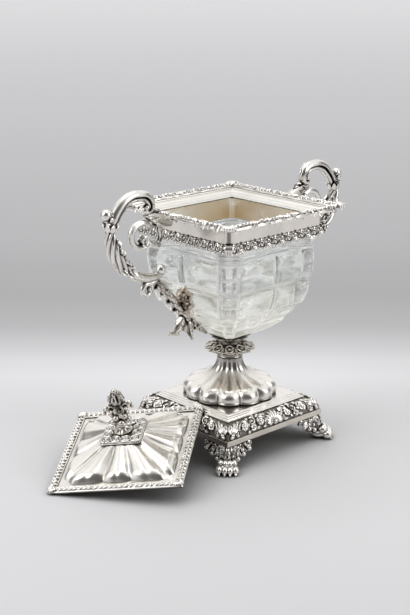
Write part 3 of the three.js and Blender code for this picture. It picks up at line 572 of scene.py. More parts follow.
# drawn with x outward along the diagonal and y across the foot
bead(paw, (heel_out + 0.4, 0, 4.2), (9.0, 8.2, 4.2), 16, 10)
bead(paw, (heel_out + 5.0, 0, 4.4), (5.0, 8.2, 4.8), 16, 10)
for aside in (-6.3, -2.1, 2.1, 6.3):
    back = abs(aside) * 0.26
    bead(paw, (heel_out + 5.0 - back, aside * 0.86, 8.4), (4.0, 3.0, 3.3), 12, 8)
    bead(paw, (heel_out + 9.4 - back, aside * 1.06, 4.2), (4.2, 3.3, 3.6), 12, 8)
    tendril(paw, [(heel_out + 11.2 - back, aside * 1.10, 2.2),
                  (heel_out + 12.6 - back, aside * 1.11, 1.5),
                  (heel_out + 12.9 - back, aside * 1.11, 0.5)], 1.4, taper=0.6, around=8, along=6)
tendril(paw, [(heel_out - 1.0, 0, 5.5), (heel_out - 3.6, 0, 10.8), (heel_out - 7.2, 0, 15.6),
              (heel_out - 8.6, 0, foot_height - 0.3)], 5.2, taper=1.5, around=24, along=12,
        ridges=9)
for turn in range(-3, 4):
    out = toward(turn * 0.50)
    base = Vector((heel_out - 5.8, 0, 13.6))
    leaf(paw, [base + out * 6.6 + Vector((-1.4, 0, 5.6)), base + out * 6.8 + up,
               base + out * 7.2 + Vector((1.4, 0, -4.0 + 0.5 * abs(turn)))], 2.2, out,
         thick=1.3, cup=-0.15, rib=1.0, notches=3, around=12, along=12)
leaf(paw, [(heel_out - 0.4, 0, foot_height - 0.6), (heel_out + 1.8, 0, 16.8),
           (heel_out + 3.0, 0, 13.2), (heel_out + 5.0, 0, 11.4)], 2.7, (1, 0, 0.3), thick=1.4,
     cup=-0.2, rib=1.3, notches=3, around=14, along=14, ruffle=0.3)
cut = bmesh.ops.bisect_plane(paw, geom=paw.verts[:] + paw.edges[:] + paw.faces[:], dist=1e-4,
                             plane_co=(0, 0, 0.02), plane_no=(0, 0, 1), clear_inner=True)
bmesh.ops.holes_fill(paw, edges=[e for e in cut["geom_cut"] if isinstance(e, bmesh.types.BMEdge)])
bmesh.ops.rotate(paw, cent=(0, 0, 0), matrix=Matrix.Rotation(math.radians(45), 3, "Z"),
                 verts=paw.verts)
deliver_four(paw, "lion_paw", [cast_silver], "paw_foot")

# The foliage: a dark plate under each side of the corner, painted shade behind the leaves,
# with four broad leaves that sweep down and out from it and end in balls.
wing = bmesh.new()
for centre, size in (((-13.0, 0.6, -2.8), (15.4, 1.4, 3.8)), ((-8.6, 0.6, -6.4), (11.4, 1.8, 8.4))):
    for point in bead(wing, centre, size, 20, 8):
        for face in point.link_faces:
            face.material_index = 1
for x, tip_x, tip_z in ((-2.0, -3.0, -14.8), (-7.0, -9.6, -13.2), (-12.4, -16.2, -10.4),
                        (-18.0, -22.8, -7.2)):
    leaf(wing, [(x, 0.6, -0.5), (x * 0.93 + tip_x * 0.07, -1.0, tip_z * 0.35 - 0.4),
                (x * 0.4 + tip_x * 0.6, -2.4, tip_z * 0.78), (tip_x, -4.0, tip_z)], 4.4, (0, -1, 0),
         thick=2.4, cup=-0.2, rib=1.5, notches=3, around=14, along=13, tip=1.1)
    bead(wing, (x - 2.0, -0.6, -1.5), (1.3, 1.2, 1.3), 8, 6)
    bead(wing, (tip_x, -3.4, tip_z + 1.2), (2.2, 1.9, 2.2), 10, 8)
    bead(wing, (x * 0.5 + tip_x * 0.5 - 1.4, -2.2, tip_z * 0.56), (1.8, 1.6, 1.8), 10, 8)
for x, z, size in ((-24.6, -2.2, 2.1), (-4.0, -3.8, 1.6), (-11.8, -3.6, 1.4)):
    loop = [(x + size * cos, -1.3, z + size * sin) for cos, sin in circle(11, 0.55)]
    tendril(wing, loop, 0.85, taper=0.7, face=(0, -1, 0), along=18)
    bead(wing, (x, -1.2, z), size * 0.5, 8, 5)
for point in wing.verts:
    point.co += Vector((plinth_half - 0.8, 1.5 - plinth_half, foot_height - 0.4))
across_corner = Matrix(((0, -1, 0, 0), (-1, 0, 0, 0), (0, 0, 1, 0), (0, 0, 0, 1)))
leafwork = repeat(wing, [Matrix(), across_corner])
deliver_four(leafwork, "foot_leafwork", [cast_silver, dark_ground_painted_shade], "foot_foliage",
             math.pi / 2)

# ---------------------------------------------------------------- pedestal
# A shell spun from sheet silver and chased: twelve swelling lobes drawn up into the flutes
# of a narrow neck. It is polished bright, with a painted dark reflection on the neck, and stands on
# the plinth.
lobes = 12
dome_foot, dome_height = 42.3, 32.7
dome_line = [(36.8, 0.0), (39.8, 0.0), (41.2, 0.05), (41.4, 0.14), (40.2, 0.26), (36.0, 0.37),
             (28.2, 0.44), (21.6, 0.53), (16.8, 0.63), (13.6, 0.74), (11.8, 0.87), (11.0, 1.0)]


def spun(line, foot, height, steps):
    """A shell of revolution from a closed outline of radius and share of the height."""
    bed = bmesh.new()
    ring = [bed.verts.new((radius, 0, foot + share * height)) for radius, share in line]
    edges = [bed.edges.new((a, b)) for a, b in zip(ring, ring[1:] + ring[:1])]
    bmesh.ops.spin(bed, geom=ring + edges, cent=(0, 0, 0), axis=(0, 0, 1), angle=2 * math.pi,
                   steps=steps, use_merge=True)
    return bed


line = [along_curve([(r, 0, h) for r, h in dome_line], k / 39)[0] for k in range(40)]
line = [(p.x, max(0, min(1, p.z))) for p in line]
bed = spun(line + [(max(r * 0.86 - 1.6, 4.5), rise) for r, rise in reversed(line[::3])],
           dome_foot, dome_height, lobes * 16)
for point in bed.verts:
    angle = math.atan2(point.co.y, point.co.x) - math.pi / 4
    rise = (point.co.z - dome_foot) / dome_height
    in_neck = max(0, min(1, (rise - 0.35) / 0.4))
    wave = abs(math.cos(lobes * angle / 2))
    crest = wave ** 0.8 * (1 - in_neck) + wave ** 1.5 * in_neck
    cut_in = 0.075 + 0.04 * math.sin(math.pi * min(1, rise * 1.8)) - 0.01 * in_neck
    point.co.xy *= 1 - cut_in * (1 - crest)


def neck_painted_reflection(seated, cloud):
    """The neck of the pedestal is painted dull and brown: a painted dark reflection."""
    return (seated.part("Z") + cloud * (6 * mm)).ease(57 * mm, 73 * mm) * 0.62


chased_silver = silver("chased_silver", 0.17, 6.0, 0.8, painted_reflection=neck_painted_reflection)
deliver(bed, "lobed_pedestal", [chased_silver], ["pedestal_dome"], crease=60)

# ---------------------------------------------------------------- knop of leaves
# A cast saucer slides over the neck: ten pointed leaves, each with an oval boss, and smaller
# tips between them. It is left dark, like all the cast work.
knop_foot, knop_height, knop_leaves = 75.3, 14.0, 10
bed = spun([(10.2, 0.0), (11.2, 0.06), (10.8, 0.14), (12.8, 0.26), (17.0, 0.40), (20.4, 0.50),
            (19.6, 0.57), (15.0, 0.70), (10.4, 0.80), (8.6, 0.88), (8.2, 1.0), (4.2, 1.0),
            (4.2, 0.0)], knop_foot, knop_height, 60)
foot = up * knop_foot
frond = bmesh.new()
out = Vector((1, 0, 0))
leaf(frond, [foot + out * 9.6 + up * 11.4, foot + out * 14.4 + up * 10.4,
             foot + out * 19.0 + up * 8.6, foot + out * 23.0 + up * 8.2], 7.0, up + out * 0.3,
     thick=0.8, cup=-0.04, rib=0.0, around=16, along=14, tip=1.1)
middle, face = foot + out * 16.9 + up * 10.2, (up + out * 0.38).normalized()
long_way = face.cross(Vector((0, 1, 0))).normalized()
loop = [middle + face * 0.5 + Vector((0, 1, 0)) * (3.3 * cos) + long_way * (4.6 * sin)
        for cos, sin in circle(17)]
tendril(frond, loop, 0.8, taper=1.0, face=face, along=20)
bead(frond, middle + face * 0.7, (2.2, 1.3, 1.0), 8, 6)
tendril(frond, [foot + out * 10.0 + up * 12.0, foot + out * 11.4 + up * 12.2,
                middle - out * 4.4 + up * 1.2], 0.9, face=up, along=6)
half_step = Matrix.Rotation(math.pi / knop_leaves, 3, "Z")
side = half_step @ out
leaf(frond, [foot + side * 12.4 + up * 11.4, foot + side * 17.0 + up * 10.2,
             foot + side * 20.4 + up * 8.4, foot + side * 22.6 + up * 7.6], 1.7, up + side * 0.3,
     thick=1.4, cup=-0.2, rib=0.9, tip=0.9)
repeat(frond, turns(knop_leaves, math.radians(225)), bed)
dark_casting = silver("dark_casting", 0.2, 3.4, 1.0, tint=(0.76, 0.72, 0.66, 1))
deliver(bed, "leaf_knop", [dark_casting], ["leaf_collar"])

# ---------------------------------------------------------------- calyx
# A cast cup of twelve upright leaves that holds the foot of the glass. The rod draws it down
# onto the neck.
cup_foot, cup_height, cup_leaves = 89.6, 6.1, 12
bed = spun([(3.4, 0.1), (8.4, 0.0), (9.2, 0.2), (11.4, 0.5), (14.6, 0.78), (16.6, 0.98),
            (15.4, 1.0), (3.4, 1.0)], cup_foot, cup_height, 48)
frond = bmesh.new()
foot = up * cup_foot
leaf(frond, [foot + out * 8.2 - up * 0.2, foot + out * 11.4 + up * 1.4,
             foot + out * 15.4 + up * 4.2, foot + out * 18.6 + up * 5.3], 3.6, out * 0.8 - up,
     thick=0.9, cup=-0.2, rib=0.9, notches=2, around=12, along=12, tip=0.8)
repeat(frond, turns(cup_leaves, math.radians(225)), bed)
deliver(bed, "calyx", [dark_casting], ["calyx_cup"])

# ---------------------------------------------------------------- rod inside the pedestal
# A steel rod, washer and nut pull plinth, pedestal and calyx together, seen only from below.
# The lid's finial hangs on a thinner rod and nut of the same steel.
old_steel, draw = start_material("old_steel")
rust = draw.noise(draw.place(), 160.0, 4.0).ease(0.45, 0.7)
draw.coat({"Base Color": rust.blend(grey(0.42), (0.20, 0.13, 0.08, 1)),
           "Metallic": 0.9 - rust * 0.4, "Roughness": 0.38 + rust * 0.3})
for name in ("tie_rod", "tie_rod_washer", "tie_rod_nut", "finial_rod", "finial_nut"):
    dress(name, old_steel, 0.0)

# ---------------------------------------------------------------- cut-glass bowl
# Heavy lead crystal, square with cut corners: two rows of pillowed blocks, two to a side, with
# fine steps above them, fanned steps below and stacked windows on the corners, all cut on a
# wheel and polished. Heights here are from the foot of the glass.
glass_foot = 96.0
# each level of the outside: height, half side, corner cut, how far the upright groove is open
levels = [(0.0, 12.0, 4.0, 0.0), (0.6, 15.5, 4.2, 0.3), (3.4, 21.6, 4.6, 0.5),
          (7.0, 27.0, 5.0, 0.6), (14.0, 35.5, 6.0, 0.8), (17.4, 36.2, 6.5, 0.8),
          (22.2, 41.0, 7.4, 1.0), (27.9, 44.4, 8.5, 1.0), (29.6, 44.0, 9.0, 0.6),
          (30.7, 48.6, 10.0, 1.0), (33.0, 49.6, 10.2, 1.0), (41.2, 52.1, 11.0, 1.0),
          (49.6, 53.4, 11.5, 1.0), (51.5, 51.3, 11.5, 0.5), (52.9, 51.3, 11.8, 0.5),
          (55.0, 54.3, 12.0, 1.0), (57.5, 54.9, 12.0, 1.0), (69.6, 56.1, 12.0, 1.0),
          (77.4, 55.6, 12.0, 1.0), (79.0, 54.1, 12.0, 0.3), (81.6, 54.5, 12.0, 0.0),
          (82.4, 53.6, 12.0, 0.0), (85.0, 54.2, 12.0, 0.0), (85.8, 53.6, 12.0, 0.0),
          (88.6, 54.2, 12.0, 0.0), (89.4, 54.2, 12.0, 0.0), (94.0, 54.2, 12.0, 0.0)]
rows_up = []
for (z0, *a), (z1, *b) in zip(levels, levels[1:]):
    steps = max(1, round((z1 - z0) / 1.3))
    rows_up += [(z0 + (z1 - z0) * k / steps, *[p + (q - p) * k / steps for p, q in zip(a, b)])
                for k in range(steps)]
rows_up.append(levels[-1])
per_face, per_corner = 40, 10
blocks = [(30.7, 51.4), (53.0, 79.0)]
block_swell, groove_depth, window_depth = 1.9, 1.4, 1.3
window_rows = [(9, 27.5), (33, 41.0), (42.4, 50.0), (54.6, 64.4), (66.2, 77.4)]
level_cuts = (15.6, 30.4, 52.2, 79.6, 82.2, 85.6, 89.2)


def glass_edge(height, half, cut, groove):
    """One level of the outside: places round the square, each with how near it is to a cut."""
    ring = []
    reach = half - cut
    level_cut = max(math.exp(-((height - line) / 0.9) ** 2) for line in level_cuts)
    for turn in quarter_turns:
        for k in range(per_face):
            x = -reach + 2 * reach * k / per_face
            out = 0.0
            for low, high in blocks:
                if low < height < high:
                    up_share = (height - low) / (high - low)
                    across = min(1.0, abs(abs(x) / reach - 0.5) * 2)
                    out = block_swell * (1 - across ** 5) * (1 - abs(2 * up_share - 1) ** 5) - 0.2
            middle = math.exp(-(x / 2.2) ** 4) * groove_depth * groove
            sharp = max(level_cut, groove * math.exp(-((abs(x) - 2.4) / 1.1) ** 2),
                        math.exp(-((reach - abs(x)) / 1.6) ** 2))
            stands_out = half + out * min(1, groove * 1.5) - middle
            ring.append((turn @ Vector((x, -stands_out, height)), sharp))
        start, end = Vector((reach, -half, 0)), Vector((half, -reach, 0))
        away = Vector((1, -1, 0)).normalized()
        window = [min(height - low, high - height)
                  for low, high in window_rows if low < height < high]
        for k in range(per_corner):
            share = k / per_corner
            glazed = window and 0.15 < share < 0.85
            sharp = math.exp(-(window[0] / 1.2) ** 2) if glazed else 0.8
            place = start.lerp(end, share) + away * (-window_depth if glazed else 0.5)
            ring.append((turn @ (place + up * height), sharp))
    return ring


outside = [glass_edge(z, half, cut, groove) for z, half, cut, groove in rows_up]
well = [(94.0, 45.3), (89.1, 45.3), (89.0, 43.4), (84, 43.2), (72, 42.2), (56.0, 40.4), (44, 36.0),
        (34, 31.5), (30.0, 29.6), (24, 24.8), (18.0, 17.4), (15.4, 12.0), (14.2, 8.0), (14.0, 3.0)]
inside = []
for height, half in well:
    cut = half * 0.10
    ring = []
    for turn in quarter_turns:
        for k in range(per_face):
            x = (half - cut) * (2 * k / per_face - 1)
            ring.append((turn @ Vector((x, -half, height)), 0))
        for k in range(per_corner):
            angle = math.pi / 2 * k / per_corner
            ring.append((turn @ Vector((half - cut + cut * math.sin(angle),
                                        -(half - cut) - cut * math.cos(angle), height)), 0))
    inside.append(ring)
bands = outside + inside
count = 4 * (per_face + per_corner)
bed = bmesh.new()
cut_mark = bed.verts.layers.float.new("cut")
sheet = bmesh.ops.create_grid(bed, x_segments=count, y_segments=len(bands) - 1, size=1)["verts"]
for point in sheet:
    i = round((point.co.x + 1) / 2 * count) % count
    j = round((point.co.y + 1) / 2 * (len(bands) - 1))
    point.co = bands[j][i][0] + up * glass_foot
    point[cut_mark] = bands[j][i][1]
bmesh.ops.remove_doubles(bed, verts=bed.verts, dist=0.001)
bmesh.ops.holes_fill(bed, edges=[e for e in bed.edges if e.is_boundary])

crystal, draw = start_material("lead_crystal")
place = draw.place()
bumps = draw.node("Bump", {}, {"Strength": 0.10, "Distance": mm,
                               "Height": draw.noise(place, 42.0, 2.0)})
layered = draw.node("Mapping", {}, {"Vector": place, "Scale": (1.0, 1.0, 4.0),
                                    "Location": (0.3, 0.1, 0.7)})
# dark lines painted into the glass, painted reflections of its cuts; they roughen it a little too
painted_dark_lines = draw.noise(layered, 22.0, 2.0, 1.0).ease(0.55, 0.62)
glass_skin = draw.node("BsdfPrincipled", {}, {
    "Base Color": painted_dark_lines.blend((0.99, 1.0, 0.995, 1), (0.70, 0.725, 0.72, 1)),
    "Transmission Weight": 1.0, "IOR": 1.46, "Roughness": 0.012 + painted_dark_lines * 0.03, "Normal": bumps})
# a bright veil, strongest on the cut edges: painted highlight on the cuts, at glancing angles and
# in streaks
# low down the veil glows: painted light, as the foot of the glass is lit through from above
low_down = 1 - place.part("Z").ease(112 * mm, 150 * mm)
painted_veil_and_glow = draw.node("BsdfPrincipled", {}, {
    "Base Color": low_down.blend((0.975, 0.985, 0.975, 1), (0.99, 0.985, 0.93, 1)),
    "Emission Color": low_down.blend(grey(0.0), (0.20, 0.19, 0.165, 1)),
    "Emission Strength": 1.0, "Roughness": 0.45})
stretched = draw.node("Mapping", {}, {"Vector": place, "Scale": (1.0, 1.0, 5.0)})
streak = draw.noise(stretched, 26.0, 2.0, 0.8).ease(0.54, 0.62)
sharp = draw.node("Attribute", {"attribute_name": "cut"}, {}, "Fac").ease(0.15, 0.9)
glancing = draw.node("LayerWeight", {}, {"Blend": 0.35}, "Facing").ease(0.1, 0.9, 0.03, 0.18)
edge_light = glancing + streak * 0.22 + sharp * 0.50 + low_down * 0.13
clear = draw.node("BsdfTransparent", {}, {"Color": (0.97, 0.985, 0.98, 1)})
soft_glass = draw.node("MixShader", {}, {0: 0.10, 1: glass_skin, 2: clear})
skin = draw.node("MixShader", {}, {0: edge_light, 1: soft_glass, 2: painted_veil_and_glow})
draw.node("OutputMaterial", {}, {"Surface": skin})
deliver(bed, "cut_glass_bowl", [crystal], ["crystal_bowl"], crease=17)

# ---------------------------------------------------------------- collar band and lining
# A plain band of sheet silver is cemented round the neck of the glass, with a painted dark
# reflection along its corners, and gilt sheet lines its inside.
def corner_painted_reflection(seated, cloud):
    """A painted dark reflection runs along the band's four upright corners."""
    apart = seated.unsigned()
    gap = seated.maths("ABSOLUTE", apart.part("X") - apart.part("Y"), 0.0)
    return (1 - (gap + cloud * mm).ease(1.6 * mm, 3.6 * mm)) * 0.85


warm_silver = silver("warm_silver", 0.16, 1.2, 0.8, tint=(0.86, 0.815, 0.755, 1),
                     painted_reflection=corner_painted_reflection)
dress("collar_band", warm_silver, 0.35)

worn_gilding, draw = start_material("worn_gilding")
# paler towards the mouth and deeper gold further down
place = draw.place()
patch = draw.noise(place, 34.0, 4.0).ease(0.35, 0.68)
deep_down = 1 - place.part("Z").ease(184 * mm, 200 * mm)
tone = (patch * 0.35 + deep_down * 0.55).blend((0.97, 0.92, 0.83, 1), (0.76, 0.58, 0.34, 1))
draw.coat({"Base Color": tone, "Metallic": 1.0, "Roughness": 0.24 + patch * 0.14})
dress("mouth_liner", worn_gilding, 0.0)

# ---------------------------------------------------------------- leaf strip round the band
# Die-rolled strip soldered round the foot of the band: coiled tendrils, small flowers and
# leaf tips that overhang the glass, all in a dark ground that is painted shade.
strip_foot, strip_height, strip_half = 185.4, 8.4, 56.6
# leaves of one link: place along it and across it, lean and length, as shares of link and width
vine_leaves = [(-0.44, 0.20, 1.9, 0.28), (-0.34, -0.24, 2.6, 0.26), (0.42, 0.04, 0.5, 0.28),
               (0.30, 0.38, -0.3, 0.26), (0.14, -0.38, -0.4, 0.26), (-0.16, -0.38, 3.2, 0.26)]


def vine(length, width, unit):
    """A running vine in flat coordinates, centred on x, from y = 0 up to its width."""
    bed = ground((int(length / 2.4), 2), length / 2, width * 0.42, width / 2, 0.5, 0.35)
    repeats = 2 * max(1, round(length / unit / 2))
    step = length / repeats
    for flip in (1, -1):
        link = bmesh.new()
        middle = width * 0.5
        curl(link, 0, middle - 0.5 * flip, width * 0.30, flip, width * 0.085, winds=1.1,
             start=math.pi / 2 * flip)
        tendril(link, [(-step * 0.42, middle - width * 0.30 * flip, 0.3),
                       (-step * 0.10, middle + width * 0.40 * flip, 0.4),
                       (step * 0.34, middle + width * 0.22 * flip, 0.3),
                       (step * 0.56, middle - width * 0.34 * flip, 0.2)], width * 0.085)
        for u, w, lean, size in vine_leaves:
            small_leaf(link, u * step, middle + w * width * flip, lean * flip, size * width,
                       width * 0.095)
        for u, reach in ((-0.25, 0.30), (0.25, 0.22)):
            small_leaf(link, u * step, width * 0.10, -1.57, reach * width, width * 0.12)
        places = [Matrix.Translation((-length / 2 + (k + 0.5) * step, 0, 0)) for k in range(repeats)
                  if (k % 2 == 0) == (flip == 1)]
        repeat(link, places, bed)
    return bed


side_strip = vine(2 * (strip_half - 1.4), strip_height, 7.6)
for point in side_strip.verts:
    point.co = Vector((point.co.x, -(strip_half + 0.1 + point.co.z * 0.85),
                       strip_foot + point.co.y))
corner = Vector((strip_half - 0.4, -(strip_half - 0.4), strip_foot + 0.4))
outward = Vector((1, -1, 0)).normalized()
for aside in (-1, 0, 1):
    base = corner + Vector((1, 1, 0)).normalized() * aside * 1.9
    leaf(side_strip, [base + up * 7.8, base + outward * 1.6 + up * 4.2,
                      base + outward * 1.0 - up * 0.8], 1.8, outward,
         cup=-0.2, along=8)
deliver(repeat(side_strip, quarter_turns), "leaf_strip", [cast_silver, dark_ground_painted_shade],
        ["collar_leaf_border"])

# ---------------------------------------------------------------- rim
# The flared rim steps up from a seat for the lid to a cast border of curling leaves, with a
# shell at each corner and in the middle of each side. The casting overhangs the sheet.
satin_silver, draw = start_material("satin_silver")
# drawn lines run round the square, one every 2.4 mm
radians_per_metre = 2600.0
place = draw.place()
apart = place.from_axis().unsigned()
out_along = draw.maths("MAXIMUM", apart.part("X"), apart.part("Y"))
lines = draw.maths("SINE", out_along * radians_per_metre, 0.0)
cloud = draw.noise(place, 60.0, 3.0)
bumps = draw.node("Bump", {}, {"Strength": 0.5, "Distance": 0.6 * mm, "Height": lines})
tone = lines.ease(-1.0, -0.3) * 0.8 + cloud * 0.4
draw.coat({"Base Color": tone.blend((0.52, 0.47, 0.40, 1), (1.0, 0.98, 0.94, 1)),
           "Metallic": 1.0, "Roughness": 0.26 + cloud * 0.1, "Normal": bumps})
dress("rim_flare", satin_silver, 0.3)
rim_top, flare_half, rim_half = 208.4, 64.0, 68.4


def shell(bed, place, outward, size, ribs=7):
    """A scallop that fans outward, its ribs standing up from the rim."""
    side = outward.cross(up)
    for k in range(ribs):
        lean = (k / (ribs - 1) - 0.5) * 2.5
        way = outward * math.cos(lean) + side * math.sin(lean)
        reach = size * (1 - 0.14 * abs(lean))
        leaf(bed, [place, place + way * reach * 0.55 + up * (size * 0.30),
                   place + way * reach + up * (size * 0.02)], size * 0.17, up,
             thick=size * 0.12, cup=-0.3, rib=0.2, around=8, along=7, tip=0.9)
    bead(bed, place + up * 0.7, size * 0.2, 8, 6)


bright_casting = silver("bright_casting", 0.2, 1.5, 0.6, tint=(0.98, 0.95, 0.905, 1))
rough = random.Random(7)
edge = bmesh.new()
for reach, rise, thick in ((-1.8, 0.3, 0.9), (0.6, 0.5, 1.5), (2.6, -0.3, 1.7)):
    wire = [(x, -(flare_half + reach + rough.uniform(-0.2, 0.2)),
             rim_top + rise + rough.uniform(-0.2, 0.3)) for x in range(-64, 65, 4)]
    tendril(edge, wire, thick, taper=1.0, along=70, around=8)
for k in range(-19, 20):
    x = k * 3.3 + rough.uniform(-0.5, 0.5)
    for reach, rise, sag, width in ((6.4, 2.8, 3.0, 1.9), (3.6, 2.2, -1.6, 1.4),
                                    (5.2, 1.6, 0.6, 1.4)):
        lean = rough.uniform(-0.9, 0.9)
        out = Vector((math.sin(lean), -math.cos(lean), 0))
        base = Vector((x + rough.uniform(-0.8, 0.8), -(flare_half - 1.0), rim_top + 0.4))
        long = reach * rough.uniform(0.8, 1.15)
        tip = base + out * long - up * (sag * rough.uniform(0.4, 1.5))
        leaf(edge, [base, base + out * long * 0.5 + up * rise, tip], width, (0, -0.4, 1),
             thick=0.8, cup=-0.25, rib=1.0, notches=2, along=9, tip=0.8)
    turn = 1 if k % 2 else -1
    hook = [(x + 1.4 * cos, -(flare_half + 1.6) + turn * 1.3 * sin, rim_top + 1.9 + 0.8 * sin)
            for cos, sin in circle(7, 0.7)]
    tendril(edge, hook, 0.55, taper=0.6, along=10)
shell(edge, Vector((0, -(flare_half - 0.6), rim_top + 0.7)), Vector((0, -1, 0)), 6.6)
shell(edge, Vector((flare_half - 0.2, -(flare_half - 0.2), rim_top + 0.9)), outward, 8.6, ribs=9)
deliver(repeat(edge, quarter_turns), "leaf_and_shell_border", [bright_casting], ["rim_border"])

# ---------------------------------------------------------------- handles
# Two cast scroll handles in the plane of the long axis. Each has a grooved arch ending in a
# volute on the rim, a ball for the thumb, a belly of twisted leaves and a smooth lower arm
# that ends in a ball. They are chased, dark in the hollows with sulphide and painted shade,
# and screwed to the rim.
def at_rim(x, z):
    """A place in the handle's plane, measured out and up from the rim's top edge."""
    return Vector((rim_half + x, 0, rim_top + z))


def from_rim(points):
    return [at_rim(x, z) for x, z in points]


def outer_side(line, share):
    """Place and direction on a handle's curve, and the way out from the stand there."""
    here, going = along_curve(line, share)
    side = going.cross(aside).normalized()
    return here, going, side if side.x > 0 else -side


aside = Vector((0, 1, 0))
arch_line = from_rim([(61.8, 0.6), (58.6, 7.4), (55.2, 12.4), (48.2, 19.4), (40.1, 22.8),
                      (33.2, 22.8), (26.6, 21.6), (22.2, 17.4), (20.9, 13.0), (23.0, 9.6),
                      (26.2, 10.2), (27.0, 12.8)])
belly_line = from_rim([(40.2, -39.9), (46.4, -35.9), (51.4, -31.0), (58.4, -20.8), (61.6, -11.2),
                       (62.6, -4.0), (61.8, 2.6)])
arm_line = from_rim([(10.4, -42.4), (12.0, -44.8), (17.4, -46.0), (26.6, -45.4), (34.0, -43.2),
                     (42.0, -39.0)])


def belly_size(share):
    """Half the thickness of the belly from the lower arm up to the arch."""
    return 3.4 + 2.2 * math.sin(math.pi * min(1, share * 1.05)) ** 1.2


grip = bmesh.new()
tendril(grip, arch_line, 5.4, face=aside, around=40, along=48, flat=0.95, groove=0.74,
        swell=lambda t: 5.2 - 1.4 * t - 1.6 * max(0, t - 0.62))
tendril(grip, belly_line, 4, face=aside, around=54, along=56, ridges=6, twist=5.2, depth=0.46,
        swell=belly_size)
tendril(grip, arm_line, 4, face=aside, around=16, along=26, groove=0.12,
        swell=lambda t: 2.5 + 2.0 * t)
bead(grip, arm_line[0] + Vector((-0.2, 0, 1.0)), 4.6, 14, 10)
# curled leaves lie in pairs along the inner side and the flanks of the belly
belly_leaves = [(0.10, 2.5, 1.0), (0.27, 2.4, 1.1), (0.42, 2.4, 1.1), (0.58, 2.4, 0.8),
                (0.04, 1.2, 0.7), (0.18, 0.9, 0.5)]
for share, turn, reach in [(a, b * flip, c) for a, b, c in belly_leaves for flip in (1, -1)]:
    path = []
    for step in range(5):
        here, going, side = outer_side(belly_line, min(1.0, share + (4 - step) * 0.04))
        out = side * math.cos(turn) + aside * math.sin(turn)
        path.append(here + out * (belly_size(share) + (-1.6, 0.4, 1.4, 2.6, 1.6)[step] * reach))
    leaf(grip, path, 2.9, out, thick=1.2, cup=-0.35, rib=1.4, notches=3, around=12, along=14,
         tip=0.95)
    bead(grip, path[4], 1.7, 10, 8)
# calyx where arch and belly meet, and the curl of the volute
here, going = along_curve(belly_line, 0.97)
side = going.cross(aside).normalized()
for cos, sin in circle(8)[:7]:
    out = side * cos + aside * sin
    leaf(grip, [here + out * 3.4 - going * 4.5, here + out * 5.6 - going * 0.6,
                here + out * 6.4 + going * 3.4], 2.3, out, thick=0.8, cup=-0.3, rib=0.8, along=8,
         tip=0.8)
for flip in (-1, 1):
    bead(grip, at_rim(25.6, 12.6) + aside * 2.2 * flip, (2.0, 1.4, 2.0), 12, 8)
leaf(grip, from_rim([(24.6, 18.6), (20.6, 20.0), (18.0, 16.4), (18.6, 12.0)]), 3.0, (0, 1, 0),
     thick=1.4, cup=0.1, notches=3, around=12, along=14)
for flip in (-1, 1):
    leaf(grip, [p + aside * flip * (1.4 + 0.9 * i) for i, p in
                enumerate(from_rim([(30.0, 24.2), (25.6, 23.6), (21.6, 19.6), (20.4, 14.6)]))], 2.2,
         aside * flip, thick=0.9, cup=0.2, rib=0.7, notches=3, around=12, along=14)

ball = bmesh.new()
bead(ball, at_rim(65.8, 12.0), 4.7, 20, 14)
middle, stem = at_rim(64.2, 9.0), Vector((0.55, 0, 0.83))
for cos, sin in circle(7)[:6]:
    out = Vector((-0.5 * sin, cos, 0.86 * sin))
    leaf(ball, [middle - stem * 3.2 + out * 3.2, middle - stem * 0.6 + out * 5.4,
                middle + stem * 2.2 + out * 5.2], 2.3, out, thick=1.1, cup=-0.2,
         around=8, along=8, tip=0.8)

coil = bmesh.new()
ring_line = from_rim([(18.7, -4.9), (23.5, -2.7)] + [
    (30.4 + 11.0 * math.cos(math.radians(a)), -9.8 + 10.0 * math.sin(math.radians(a)))
    for a in range(125, -140, -24)])
tendril(coil, ring_line, 3, face=aside, around=14, along=44, groove=0.28,
        swell=lambda t: 2.4 + 0.8 * math.sin(math.pi * t) - 0.6 * t)
for flip in (-1, 1):
    tendril(coil, [p + aside * 1.9 * flip for p in ring_line], 0.8, face=aside, taper=0.8,
            along=40)
flower_at = at_rim(28.0, -14.6)
for k in range(5):
    angle = 2 * math.pi * k / 5 + 0.3
    for flip in (-1, 1):
        out = Vector((math.cos(angle), 0, math.sin(angle)))
        leaf(coil, [flower_at + aside * flip * 1.0, flower_at + out * 3.2 + aside * flip * 2.6,
                    flower_at + out * 5.4 + aside * flip * 1.6], 2.0, aside * flip, thick=0.9,
             cup=0.2, along=7, tip=0.8)
bead(coil, flower_at, (1.8, 3.6, 1.8), 12, 8)
tendril(coil, from_rim([(24.4, -14.8), (19.0, -18.2), (13.6, -19.4)]), 2.0, face=aside, around=10,
        along=10)
for turn in (-0.8, 0.0, 0.8):
    tip = at_rim(13.6 - 3.4 * math.cos(turn), -19.4 + 3.2 * math.sin(turn))
    leaf(coil, [at_rim(17.6, -18.0), (at_rim(15.6, -18.6) + tip) / 2 + aside * 1.2, tip], 2.1,
         aside, thick=1.6, rib=1.2, along=8)
bead(coil, at_rim(13.6, -19.4), 2.4, 10, 8)
for flip in (-1, 1):
    hanging = from_rim([(14.0, -3.0), (11.4, -8.6), (11.0, -14.0), (14.4, -19.6)])
    leaf(coil, [p + aside * 1.6 * flip for p in hanging], 2.8, aside * flip, thick=1.3,
         cup=-0.2, rib=1.2, notches=4, around=12, along=14, tip=0.8)

